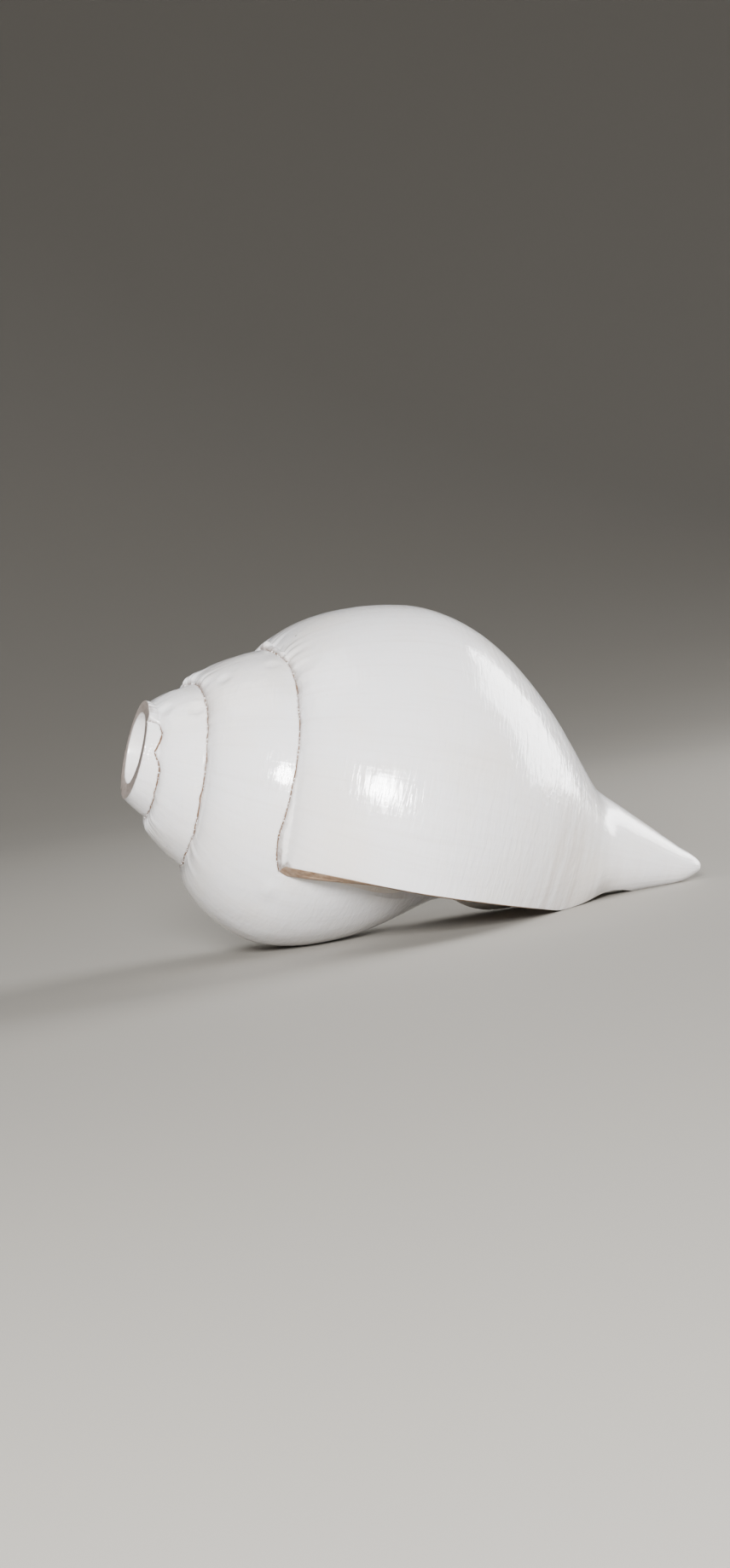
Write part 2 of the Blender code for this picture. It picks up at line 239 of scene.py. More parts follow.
@dataclass(frozen=True)
class PolishedShell:
    """Scraped and buffed aragonite: porcelain gloss, faint cream clouds, fine growth lines.

    Patterns that follow the growth are laid out by age, in turns, and by place along the
    axis, in metres.
    """

    name: str = "buffed white chank shell"
    white: str = "#F1EFF0"
    cloud: str = "#EFE6DA"
    line: str = "#D9D2CD"
    # Brown of the threads, partly painted shade on the lower front of the body whorl.
    thread: str = "#A8907C"
    # Brown of the seam dirt, also used as painted shade on the flank at the lip.
    grime_and_shade: str = "#5C3E27"
    pit: str = "#5C4432"
    roughness: float = 0.15
    ior: float = 1.58
    cloud_mm: float = 26.0
    speck_mm: float = 1.6
    buff_mm: float = 2.4
    pit_mm: float = 5.5
    lines_per_turn: float = 170.0
    lines_per_metre: float = 22.0
    threads_per_turn: float = 5.0
    threads_per_metre: float = 420.0
    ripples_per_turn: float = 52.0
    ripple_mm: float = 1.25
    neck: tuple[float, float] = (0.086, 0.104)
    canal: tuple[float, float] = (0.106, 0.122)
    thread_ages: tuple[float, float] = (0.04, 0.2)
    ripple_start: tuple[float, float] = (0.055, 0.09)

    def clean(self, tree: bpy.types.NodeTree, place: Any, lines: Any) -> Any:
        """White shell with cream clouds and growth lines.

        Args:
            tree: the material's node tree.
            place: object coordinates.
            lines: pattern of the growth lines.

        Returns:
            The colour socket.
        """
        clouds = add_node(tree, "ShaderNodeTexNoise", None,
                          {"Vector": place, "Scale": 1.0 / (self.cloud_mm * MM), "Detail": 3.0,
                           "Roughness": 0.55})
        cloudy = add_node(tree, "ShaderNodeMapRange", None,
                          {"Value": clouds.outputs["Fac"], "From Min": 0.48, "From Max": 0.75,
                           "To Max": 0.55})
        base = add_node(tree, "ShaderNodeMix", {"data_type": "RGBA"},
                        {0: cloudy.outputs[0], 6: linear(self.white), 7: linear(self.cloud)})
        faint = add_node(tree, "ShaderNodeMapRange", None,
                         {"Value": lines, "From Min": 0.5, "From Max": 0.8, "To Max": 0.35})
        lined = add_node(tree, "ShaderNodeMix", {"data_type": "RGBA"},
                         {0: faint.outputs[0], 6: base.outputs[2], 7: linear(self.line)})
        return lined.outputs[2]

    def threaded(self, tree: bpy.types.NodeTree, under: Any, growth: Any, age: Any, along: Any,
                 off_canal: Any) -> Any:
        """Thin brown threads round the front of the last whorl, strongest at the lip; their brown is partly
        painted shade on the lower front.

        Args:
            tree: the material's node tree.
            under: colour beneath.
            growth: age and place along the axis as a vector.
            age: turns back from the lip.
            along: place along the axis.
            off_canal: 1 on the whorls, less on the canal.

        Returns:
            The colour socket.
        """
        spun = add_node(tree, "ShaderNodeVectorMath", {"operation": "MULTIPLY"},
                        {0: growth, 1: (self.threads_per_turn, self.threads_per_metre, 1.0)})
        threads = add_node(tree, "ShaderNodeTexNoise", None,
                           {"Vector": spun.outputs[0], "Scale": 1.0, "Detail": 2.0, "Roughness": 0.6})
        share = add_node(tree, "ShaderNodeMapRange", None,
                         {"Value": threads.outputs["Fac"], "From Min": 0.38, "From Max": 0.74,
                          "To Max": 0.5}).outputs[0]
        forward = add_node(tree, "ShaderNodeMapRange", {"interpolation_type": "SMOOTHSTEP"},
                           {"Value": along, "From Min": self.neck[0], "From Max": self.neck[1]}).outputs[0]
        by_lip = add_node(tree, "ShaderNodeMapRange", {"interpolation_type": "SMOOTHSTEP"},
                          {"Value": age, "From Min": self.thread_ages[0], "From Max": self.thread_ages[1],
                           "To Min": 1.0, "To Max": 0.15}).outputs[0]
        for limit in (forward, by_lip, off_canal):
            share = add_node(tree, "ShaderNodeMath", {"operation": "MULTIPLY"},
                             {0: share, 1: limit}).outputs[0]
        return add_node(tree, "ShaderNodeMix", {"data_type": "RGBA"},
                        {0: share, 6: under, 7: linear(self.thread)}).outputs[2]

    def dirt(self, tree: bpy.types.NodeTree, place: Any) -> Any:
        """Share of old dirt, patchy, where the seam attribute says that it clings; on the flank at the lip
        this share is partly painted shade.

        Args:
            tree: the material's node tree.
            place: object coordinates.

        Returns:
            The socket of the share, 0 to 0.9.
        """
        seam = add_node(tree, "ShaderNodeAttribute", {"attribute_name": "seam"})
        speck = add_node(tree, "ShaderNodeTexNoise", None,
                         {"Vector": place, "Scale": 1.0 / (self.speck_mm * MM), "Detail": 3.0,
                          "Roughness": 0.65})
        patchy = add_node(tree, "ShaderNodeMath", {"operation": "MULTIPLY_ADD"},
                          {0: speck.outputs["Fac"], 1: 0.9, 2: -0.52})
        worn = add_node(tree, "ShaderNodeMath", {"operation": "ADD"},
                        {0: seam.outputs["Fac"], 1: patchy.outputs[0]})
        return add_node(tree, "ShaderNodeMapRange", None,
                        {"Value": worn.outputs[0], "From Min": 0.32, "From Max": 0.95,
                         "To Max": 0.9}).outputs[0]

    def pits(self, tree: bpy.types.NodeTree, place: Any) -> Any:
        """Share of the few small pits that the buffing left open.

        Args:
            tree: the material's node tree.
            place: object coordinates.

        Returns:
            The socket of the share.
        """
        cells = add_node(tree, "ShaderNodeTexVoronoi", {"feature": "F1"},
                         {"Vector": place, "Scale": 1.0 / (self.pit_mm * MM), "Randomness": 1.0})
        pick = add_node(tree, "ShaderNodeSeparateColor", None, {0: cells.outputs["Color"]})
        size = add_node(tree, "ShaderNodeMapRange", None,
                        {"Value": pick.outputs[0], "From Min": 0.84, "From Max": 1.0, "To Max": 0.06})
        inside = add_node(tree, "ShaderNodeMath", {"operation": "SUBTRACT"},
                          {0: size.outputs[0], 1: cells.outputs["Distance"]})
        return add_node(tree, "ShaderNodeMapRange", None,
                        {"Value": inside.outputs[0], "From Min": 0.0, "From Max": 0.02,
                         "To Max": 0.8}).outputs[0]

    def ripples(self, tree: bpy.types.NodeTree, growth: Any, along: Any, off_canal: Any) -> Any:
        """Short strokes along the whorl that break up the highlights, strongest toward the front.

        Args:
            tree: the material's node tree.
            growth: age and place along the axis as a vector.
            along: place along the axis.
            off_canal: 1 on the whorls, less on the canal.

        Returns:
            The height socket.
        """
        spread = add_node(tree, "ShaderNodeVectorMath", {"operation": "MULTIPLY"},
                          {0: growth, 1: (self.ripples_per_turn, 1.0 / (self.ripple_mm * MM), 1.0)})
        height = add_node(tree, "ShaderNodeTexNoise", None,
                          {"Vector": spread.outputs[0], "Scale": 1.0, "Detail": 2.5, "Roughness": 0.5,
                           "Distortion": 0.4}).outputs["Fac"]
        front = add_node(tree, "ShaderNodeMapRange", None,
                         {"Value": along, "From Min": self.ripple_start[0],
                          "From Max": self.ripple_start[1],
                          "To Min": 0.5}).outputs[0]
        for limit in (front, off_canal):
            height = add_node(tree, "ShaderNodeMath", {"operation": "MULTIPLY"},
                              {0: height, 1: limit}).outputs[0]
        return height

    def build(self) -> bpy.types.Material:
        """Make the material for the outside of the shell.

        Returns:
            The material.
        """
        material, tree = new_material(self.name)
        place = add_node(tree, "ShaderNodeTexCoord").outputs["Object"]
        age, along = (add_node(tree, "ShaderNodeAttribute", {"attribute_name": label}).outputs["Fac"]
                      for label in ("age", "along"))
        growth = add_node(tree, "ShaderNodeCombineXYZ", None, {"X": age, "Y": along}).outputs[0]
        stretch = add_node(tree, "ShaderNodeVectorMath", {"operation": "MULTIPLY"},
                           {0: growth, 1: (self.lines_per_turn, self.lines_per_metre, 1.0)})
        lines = add_node(tree, "ShaderNodeTexNoise", None,
                         {"Vector": stretch.outputs[0], "Scale": 1.0, "Detail": 4.0, "Roughness": 0.6})
        colour = self.clean(tree, place, lines.outputs["Fac"])
        off_canal = add_node(tree, "ShaderNodeMapRange", None,
                             {"Value": along, "From Min": self.canal[0], "From Max": self.canal[1],
                              "To Min": 1.0, "To Max": 0.2}).outputs[0]
        colour = self.threaded(tree, colour, growth, age, along, off_canal)
        dirt, pits = self.dirt(tree, place), self.pits(tree, place)
        # The dirt share and the pits darken the white; the dirt share includes painted shade on the lip's
        # flank.
        for share, tint in ((dirt, self.grime_and_shade), (pits, self.pit)):
            colour = add_node(tree, "ShaderNodeMix", {"data_type": "RGBA"},
                              {0: share, 6: colour, 7: linear(tint)}).outputs[2]
        buffed = add_node(tree, "ShaderNodeTexNoise", None,
                          {"Vector": place, "Scale": 1.0 / (self.buff_mm * MM), "Detail": 4.0,
                           "Roughness": 0.5})
        gloss = add_node(tree, "ShaderNodeMapRange", None,
                         {"Value": buffed.outputs["Fac"], "From Min": 0.3, "From Max": 0.75,
                          "To Min": self.roughness - 0.05, "To Max": self.roughness + 0.09})
        dull = add_node(tree, "ShaderNodeMath", {"operation": "MULTIPLY_ADD"},
                        {0: dirt, 1: 0.5, 2: gloss.outputs[0]})
        reliefs = ((lines.outputs["Fac"], 0.22, 0.00025),
                   (self.ripples(tree, growth, along, off_canal), 0.7, 0.0004),
                   (buffed.outputs["Fac"], 0.12, 0.0002), (pits, -0.8, 0.0003))
        turned: dict[str, Any] = {}
        for height, strength, distance in reliefs:
            bump = add_node(tree, "ShaderNodeBump", {"invert": strength < 0.0},
                            {"Strength": abs(strength), "Distance": distance, "Height": height, **turned})
            turned = {"Normal": bump.outputs[0]}
        surface = add_node(tree, "ShaderNodeBsdfPrincipled", None,
                           {"Base Color": colour, "Roughness": dull.outputs[0], "IOR": self.ior,
                            "Subsurface Weight": 0.12, "Subsurface Radius": (1.0, 0.8, 0.6),
                            "Subsurface Scale": 0.0015, "Coat Weight": 0.35, "Coat Roughness": 0.06,
                            **turned})
        add_node(tree, "ShaderNodeOutputMaterial", None, {"Surface": surface.outputs[0]})
        return material


@dataclass(frozen=True)
class PlainShell:
    """Shell that was left by another tool: glazed inside, ground lip or sawn rim."""

    name: str
    base: str
    shade: str
    roughness: float
    grain_mm: float
    bump: float
    ior: float = 1.58

    def build(self) -> bpy.types.Material:
        """Make the material for a cut or inner face.

        Returns:
            The material.
        """
        material, tree = new_material(self.name)
        place = add_node(tree, "ShaderNodeTexCoord").outputs["Object"]
        grain = add_node(tree, "ShaderNodeTexNoise", None,
                         {"Vector": place, "Scale": 1.0 / (self.grain_mm * MM), "Detail": 4.0,
                          "Roughness": 0.6})
        spread = add_node(tree, "ShaderNodeMapRange", None,
                          {"Value": grain.outputs["Fac"], "From Min": 0.35, "From Max": 0.7})
        base = add_node(tree, "ShaderNodeMix", {"data_type": "RGBA"},
                        {0: spread.outputs[0], 6: linear(self.base), 7: linear(self.shade)})
        gloss = add_node(tree, "ShaderNodeMapRange", None,
                         {"Value": grain.outputs["Fac"], "To Min": self.roughness - 0.05,
                          "To Max": self.roughness + 0.08})
        bump = add_node(tree, "ShaderNodeBump", None,
                        {"Strength": self.bump, "Distance": 0.0003, "Height": grain.outputs["Fac"]})
        surface = add_node(tree, "ShaderNodeBsdfPrincipled", None,
                           {"Base Color": base.outputs[2], "Roughness": gloss.outputs[0], "IOR": self.ior,
                            "Normal": bump.outputs[0], "Subsurface Weight": 0.1,
                            "Subsurface Radius": (1.0, 0.8, 0.6), "Subsurface Scale": 0.0015})
        add_node(tree, "ShaderNodeOutputMaterial", None, {"Surface": surface.outputs[0]})
        return material


@dataclass(frozen=True)
class StudioPaint:
    """Matt emulsion on the studio floor."""

    name: str = "matt studio paint"
    base: str = "#949089"
    roughness: float = 0.75

    def build(self) -> bpy.types.Material:
        """Make the floor's material.

        Returns:
            The material.
        """
        material, tree = new_material(self.name)
        surface = add_node(tree, "ShaderNodeBsdfPrincipled", None,
                           {"Base Color": linear(self.base), "Roughness": self.roughness})
        add_node(tree, "ShaderNodeOutputMaterial", None, {"Surface": surface.outputs[0]})
        return material


# Inside, the animal's own glaze: warmer and softer than the buffed outside.
INNER_GLAZE = PlainShell("inner porcelain glaze", "#EDE6DF", "#E8DCD0", 0.24, 9.0, 0.1)
# Wheel-ground lip: matt, its brown partly dirt worked in and partly painted shade from under the lip.
GROUND_LIP_WITH_SHADE = PlainShell("ground lip of shell with painted shade", "#A88E76", "#82644A", 0.48, 1.6, 0.35)
# Fine-toothed saw cut at the spire; its grey-brown is partly painted shade, darkened as the rim faces away
# from the light.
SAWN_RIM_WITH_SHADE = PlainShell("sawn shell with painted shade", "#A89D97", "#85786F", 0.40, 0.9, 0.35)
# Reamed and polished bore.
BORE_WALL = PlainShell("reamed shell bore", "#F0EEEE", "#E6E1DE", 0.22, 3.0, 0.12)
# Old dirt packed into the seam between the whorls.
PACKED_DIRT = PlainShell("dirt packed in the seam", "#5E4029", "#86694E", 0.8, 0.5, 0.6)
CHALK_GRAIN = PlainShell("chalky grains", "#D8CDBF", "#A98F74", 0.7, 0.6, 0.4)


# Growth rule


@dataclass
class GrowthRule:
    """Sizes of the spiral in millimetres, read by age: turns back from the lip.

    seam_bumps and pleats hold middle age, width in turns and amount; callus holds age, place
    along the axis, rise, width in turns and width in millimetres.
    """

    ages: tuple[float, ...] = (0.0, 0.35, 0.6, 0.85, 1.1, 1.35, 1.85, 2.35, 3.0, 4.0, 5.0)
    suture_w: tuple[float, ...] = (34.3, 26.8, 21.3, 16.5, 12.5, 8.9, 4.3, 0.4, -4.6, -10.0, -14.0)
    shoulder_rise: tuple[float, ...] = (32.2, 34.9, 28.9, 23.2, 24.6, 26.8, 19.2, 14.4, 11.0, 8.0, 6.0)
    peak_radius: tuple[float, ...] = (56.3, 50.4, 44.8, 41.1, 38.8, 34.0, 27.7, 21.3, 15.4, 10.0, 6.5)
    shoulder_power: tuple[float, ...] = (1.58, 1.59, 1.42, 1.65, 1.67, 1.46, 1.46, 1.26, 1.30, 1.30, 1.30)
    base_length: tuple[float, ...] = (66.5, 66.2, 66.4, 64.6, 54.5, 50.0, 40.0, 30.0, 22.0, 15.0, 11.0)
    length: float = 152.2
    lip_angle: float = math.radians(-33.0)
    canal_round: float = 5.5
    canal_end: float = 2.1
    canal_slope: float = 0.398
    canal_flare: float = -1.1
    canal_blend: float = 10.0
    tip_lift: float = 0.9
    wall_thickness: float = 3.4
    tip_wall: float = 1.3
    suture_step: float = 0.5
    lip_step: float = 2.0
    lip_height: float = -20.75
    lip_rise: float = 0.052
    lip_canal_rise: float = 6.8
    lip_slot_angle: float = math.radians(-72.0)
    columella_slot_angle: float = math.radians(-112.0)
    lip_flare: float = 1.6
    plait_height: float = 1.3
    plait_pitch: float = 8.0
    plaits: int = 3
    seam_wave: float = 0.07
    seam_depth: float = 0.5
    seam_bumps: tuple[tuple[float, float, float], ...] = (
        (0.032, 0.045, -2.4), (0.10, 0.03, -0.6), (-0.003, 0.012, 0.75), (0.32, 0.055, -2.1),
        (0.90, 0.05, -0.55), (1.0, 0.09, -0.25), (1.25, 0.11, 0.5))
    channel_reach: float = 0.72
    plait_stop: float = 14.0
    pleats: tuple[tuple[float, float, float], ...] = (
        (0.31, 0.09, 1.4), (1.35, 0.07, 1.2), (1.87, 0.06, 0.5), (0.93, 0.035, 0.3), (2.26, 0.04, 0.8))
    callus: tuple[tuple[float, float, float, float, float], ...] = (
        (0.984, 36.5, 0.75, 0.009, 1.3), (0.968, 39.5, -0.6, 0.012, 2.6), (0.975, 33.0, 0.4, 0.010, 1.6),
        (0.955, 44.0, 0.35, 0.010, 3.0))
    edge_width: float = 0.45
    corner_width: float = 0.8
    corner_rise: float = 1.0
    ground_drop: float = 2.3
    table_rows: int = 128
    table: dict[str, Array] = field(default_factory=dict)

    def __post_init__(self) -> None:
        """Fill the tables, the suture's radius from the oldest turn down."""
        rows = self.table_rows
        age = np.arange(-rows, int(round(self.ages[-1] * rows)) + 1) / rows
        self.table = {"age": age, "ws": self.knots(self.suture_w, age),
                      "rp": self.knots(self.peak_radius, age),
                      "power": self.knots(self.shoulder_power, age),
                      "base": self.knots(self.base_length, age)}
        self.table["wp"] = self.table["ws"] + self.knots(self.shoulder_rise, age)
        radius = 0.75 * self.table["rp"]
        self.table["rs"] = radius
        for i in range(len(age) - rows - 1, -1, -1):
            radius[i] = self.body(age[i + rows], self.table["ws"][i])

    def knots(self, values: tuple[float, ...], at: Any) -> Array:
        """Smooth cubic through (ages, values), read at the ages in at.

        Args:
            values: one value for each of the rule's ages.
            at: ages to read.

        Returns:
            The values there.
        """
        x = np.asarray(self.ages, float)
        y = np.asarray(values, float)
        q = np.clip(np.asarray(at, float), -1.2, x[-1])
        step = np.diff(x)
        rate = np.diff(y) / step
        slope = np.empty_like(y)
        slope[1:-1] = (rate[:-1] * step[1:] + rate[1:] * step[:-1]) / (step[:-1] + step[1:])
        slope[0] = 1.5 * rate[0] - 0.5 * slope[1]
        slope[-1] = 1.5 * rate[-1] - 0.5 * slope[-2]
        k = np.clip(np.searchsorted(x, q, side="right") - 1, 0, len(x) - 2)
        t = np.maximum((q - x[k]) / step[k], 0.0)
        inside = ((2 * t**3 - 3 * t**2 + 1) * y[k] + (t**3 - 2 * t**2 + t) * step[k] * slope[k]
                  + (3 * t**2 - 2 * t**3) * y[k + 1] + (t**3 - t**2) * step[k] * slope[k + 1])
        return inside + np.minimum(q - x[0], 0.0) * slope[0]

    def at(self, name: str, age: Any) -> Array:
        """Value of a table at any age."""
        return np.interp(age, self.table["age"], self.table[name])

    def body(self, age: Any, w: Any) -> Array:
        """Radius of the whorl alone, from its suture over the shoulder to its base.

        Args:
            age: turns back from the lip.
            w: millimetres along the axis from the rim's reference.

        Returns:
            The radius.
        """
        ws, rs, wp, rp = (self.at(name, age) for name in ("ws", "rs", "wp", "rp"))
        power = self.at("power", age)
        x = np.clip((w - ws) / (wp - ws), 0.0, 1.0)
        rise = (1.0 - (1.0 - x)**power)**(1.0 / power)
        drop = np.clip((w - wp) / self.at("base", age), 0.0, 1.0)
        fall = np.cos(0.5 * math.pi * drop)
        return np.where(w < wp, rs + (rp - rs) * rise, rp * fall)

    def canal(self, w: Any) -> Array:
        """Radius of the drawn-out canal.

        Args:
            w: millimetres along the axis from the rim's reference.

        Returns:
            The radius.
        """
        x = np.clip(self.length - w, 0.0, None)
        end = self.canal_end * np.sqrt(1.0 - np.clip(1.0 - x / self.canal_round, 0.0, 1.0)**2)
        return end + self.canal_slope * x + self.canal_flare * (x / 50.0)**3

    def outer(self, age: Any, w: Any) -> Array:
        """Outer radius with the canal, the lip's flare and the raised edge at the suture.

        Args:
            age: turns back from the lip.
            w: millimetres along the axis from the rim's reference.

        Returns:
            The radius.
        """
        age = np.asarray(age, float)
        wp = self.at("wp", age)
        reach = np.clip((w - wp) / (0.6 * (self.length - wp)), 0.0, 1.0)
        canal = self.canal(w) * reach * reach * (3.0 - 2.0 * reach)
        power = self.canal_blend
        both = (np.maximum(self.body(age, w), 0.0)**power + canal**power)**(1.0 / power)
        near_lip = np.exp(-(np.clip(age, 0.0, None) / 0.06)**2)
        flare = self.lip_flare * np.exp(-((w - 119.0) / 6.5)**2) * near_lip
        gap = np.clip(w - self.at("ws", age) - self.seam_offset(age), 0.0, None)
        edge = self.suture_step + self.lip_step * np.exp(-np.clip(age, 0.0, None) / 0.05)
        width = self.edge_width + self.corner_width * np.exp(-np.clip(age, 0.0, None) / 0.05)
        return both + flare + edge * (1.0 - np.exp(-(gap / width)**2)) * np.exp(-gap / 9.0)

    def tail(self, age: Any) -> Array:
        """w of the channel's front end: the tip at the lip, less inside.

        Args:
            age: turns back from the lip.

        Returns:
            The place along the axis.
        """
        deep = self.at("wp", age) + self.channel_reach * self.at("base", age)
        start = self.at("wp", 0.0) + self.channel_reach * self.at("base", 0.0)
        return deep + (self.length - start) * np.clip(1.0 - age / 0.45, 0.0, 1.0)**1.5

    def columella(self, age: float, w: Any) -> Array:
        """Radius of the central pillar with its winding plaits.

        Args:
            age: turns back from the lip.
            w: millimetres along the axis from the rim's reference.

        Returns:
            The radius.
        """
        slim = np.maximum(0.45 * self.canal(w), 1e-3)
        pillar = ((4.6 + 0.05 * w)**-4.0 + slim**-4.0)**-0.25
        turn = (w - (self.tail(age) - self.plait_stop)) / self.plait_pitch
        inside = smooth(turn, -self.plaits - 0.5, -self.plaits) * (1.0 - smooth(turn, -0.5, 0.0))
        fade = smooth(age, 0.02, 0.14) * (1.0 - 0.6 * smooth(age, 0.7, 1.6))
        return pillar + self.plait_height * (0.5 - 0.5 * np.cos(2.0 * math.pi * turn)) * inside * fade

    def wall(self, age: Any, w: Any) -> Array:
        """Radial thickness of the wall, kept even where the profile is steep.

        Args:
            age: turns back from the lip.
            w: millimetres along the axis from the rim's reference.

        Returns:
            The thickness.
        """
        slope = self.outer(age, w + 0.5) - self.outer(age, w - 0.5)
        even = self.wall_thickness * (1.0 - 0.25 * smooth(age, 0.8, 2.0))
        even = even + (self.tip_wall - even) * smooth(w, 100.0, 143.0)
        return even * np.minimum(np.sqrt(1.0 + slope * slope), 1.7)

    def inner(self, age: float, w: Any) -> Array:
        """Radius of the channel's inner side: older whorl, then columella.

        Args:
            age: turns back from the lip.
            w: millimetres along the axis from the rim's reference.

        Returns:
            The radius.
        """
        older = np.maximum(self.body(age + 1.0, w), 0.1)
        deep = (older**6.0 + self.columella(age, w)**6.0)**(1.0 / 6.0)
        mouth = 1.0 if age <= 0.0 else (1.0 - smooth(age, 0.0, 0.10)) * smooth(w, 52.0, 90.0)
        return deep + (self.outer(1.0, w) - deep) * mouth

    def lip_plane(self, w: Any) -> Array:
        """Height of the ground edge of the lip, which lies in one plane but for its two ends.

        Args:
            w: millimetres along the axis from the rim's reference.

        Returns:
            The height.
        """
        start = self.suture_w[0]
        height = (self.lip_height + self.lip_rise * (w - start)
                  + self.lip_canal_rise * smooth(w, 106.0, 131.0))
        return height + self.corner_rise * (1.0 - smooth(w, start - 1.0, start + 34.0))

    def lip_shift(self, w: Any) -> Array:
        """Turn of the lip edge from lip_angle that brings it to its plane.

        Args:
            w: millimetres along the axis from the rim's reference.

        Returns:
            The turn in radians.
        """
        steep = math.sin(self.lip_slot_angle)
        edge = np.maximum(self.outer(0.02, w), 0.1)
        angle = np.arcsin(np.clip(self.lip_plane(w) / edge, steep, 0.0))
        first = self.suture_w[0] + float(self.seam_offset(0.0))
        return (angle - self.lip_angle) * smooth(w, first, first + 0.7)

    def columella_shift(self, w: Any) -> Array:
        """The same for the edge on the columella's side of the mouth."""
        return (self.columella_slot_angle - self.lip_angle) * smooth(w, 44.0, 122.0)

    def seam_offset(self, age: Any) -> Array:
        """Wander of the seam along the axis, with a tongue and a scallop near the sawn rim.

        Args:
            age: turns back from the lip.

        Returns:
            The offset along the axis.
        """
        age = np.clip(np.asarray(age, float), 0.0, None)
        turn = 2.0 * math.pi * age
        wave = np.sin(9.3 * turn + 1.0) + 0.8 * np.sin(21.0 * turn) + 0.5 * np.sin(37.0 * turn + 2.0)
        total = self.seam_wave * wave
        for middle, width, amount in self.seam_bumps:
            total = total + amount * np.exp(-((age - middle) / width)**2)
        lobe = np.clip(np.sin(math.pi * np.clip((age - 2.105) / 0.105, 0.0, 1.0)), 0.0, 1.0)**0.8
        total = total + 0.55 * smooth(age, 1.6, 1.85) * (1.0 - smooth(age, 2.03, 2.10)) + 1.35 * lobe
        return total - 1.1 * smooth(age, 2.06, 2.11) - 2.6 * smooth(age, 2.185, 2.215)

    def fold(self, age: Any, gap: Any) -> Array:
        """Strength of the short pleats that cross the seam where the whorl was cramped.

        Args:
            age: turns back from the lip.
            gap: distance in front of the seam.

        Returns:
            The strength.
        """
        total = sum(amount * np.exp(-((age - middle) / width)**2) for middle, width, amount in self.pleats)
        return total * np.exp(-gap / 1.5) * (1.0 - np.exp(-gap / 0.25))

    def dimple(self, age: Any, w: Any) -> Array:
        """Callus folds on the older whorl, just under the corner of the lip.

        Args:
            age: turns back from the lip.
            w: millimetres along the axis from the rim's reference.

        Returns:
            The rise of the surface.
        """
        return sum(high * np.exp(-((age - a) / da)**2 - ((w - at) / dw)**2)
                   for a, at, high, da, dw in self.callus)

    def grime_and_shade(self, age: float, w: Array, gap: Array) -> Array:
        """Share of dirt on the surface near the seam and at the sawn rim, and of painted shade mixed with
        dirt on the flank at the lip.

        Args:
            age: turns back from the lip.
            w: millimetres along the axis from the rim's reference.
            gap: distance in front of the seam.

        Returns:
            The share, 0 to 1.
        """
        reach = 0.45 + 0.6 * math.exp(-age / 0.06) + 0.4 * math.exp(-((age - 0.3) / 0.12)**2)
        width = 0.5 + 1.3 * math.exp(-age / 0.04)
        # Flank at the lip: partly dirt, partly painted shade where it faces away from the light.
        flank = 0.78 * math.exp(-(age / 0.07)**2) * (1.0 - smooth(gap, 0.8 * width, 1.15 * width))
        rim = 0.8 * math.exp(-((age - 2.25) / 0.035)**2) * (1.0 - smooth(w, -0.9, 1.2))
        return np.maximum(np.maximum(np.exp(-gap / reach), flank), rim)

    def corner(self, age: float) -> float:
        """w where the channel's outer wall leaves the older whorl.

        Args:
            age: turns back from the lip.

        Returns:
            The place along the axis.
        """
        w = self.at("ws", age) + np.linspace(0.8, 9.0, 165)
        room = self.outer(age, w) - self.wall(age, w) - self.inner(age, w)
        clear = np.nonzero(room > 0.0)[0]
        return float(w[clear[0]]) if len(clear) else float(w[-1])


@dataclass
class RestPose:
    """Turn and place of the shell's own frame in the row's frame."""

    roll: float = math.radians(2.743)
    pitch: float = math.radians(20.444)
    origin: tuple[float, float, float] = (-0.0686754, 0.0051104, 0.0551674)

    def turn(self) -> Matrix:
        """Rotation from the shell's frame to the row's frame."""
        return (Matrix.Rotation(self.pitch, 4, "Y") @ Matrix.Rotation(self.roll, 4, "X")).to_3x3()

    def place(self, points: Array) -> Array:
        """Millimetres in the shell's frame to metres in the row's frame."""
        return np.asarray(points, float) @ np.array(self.turn()).T * MM + np.array(self.origin)


# Skin of the shell


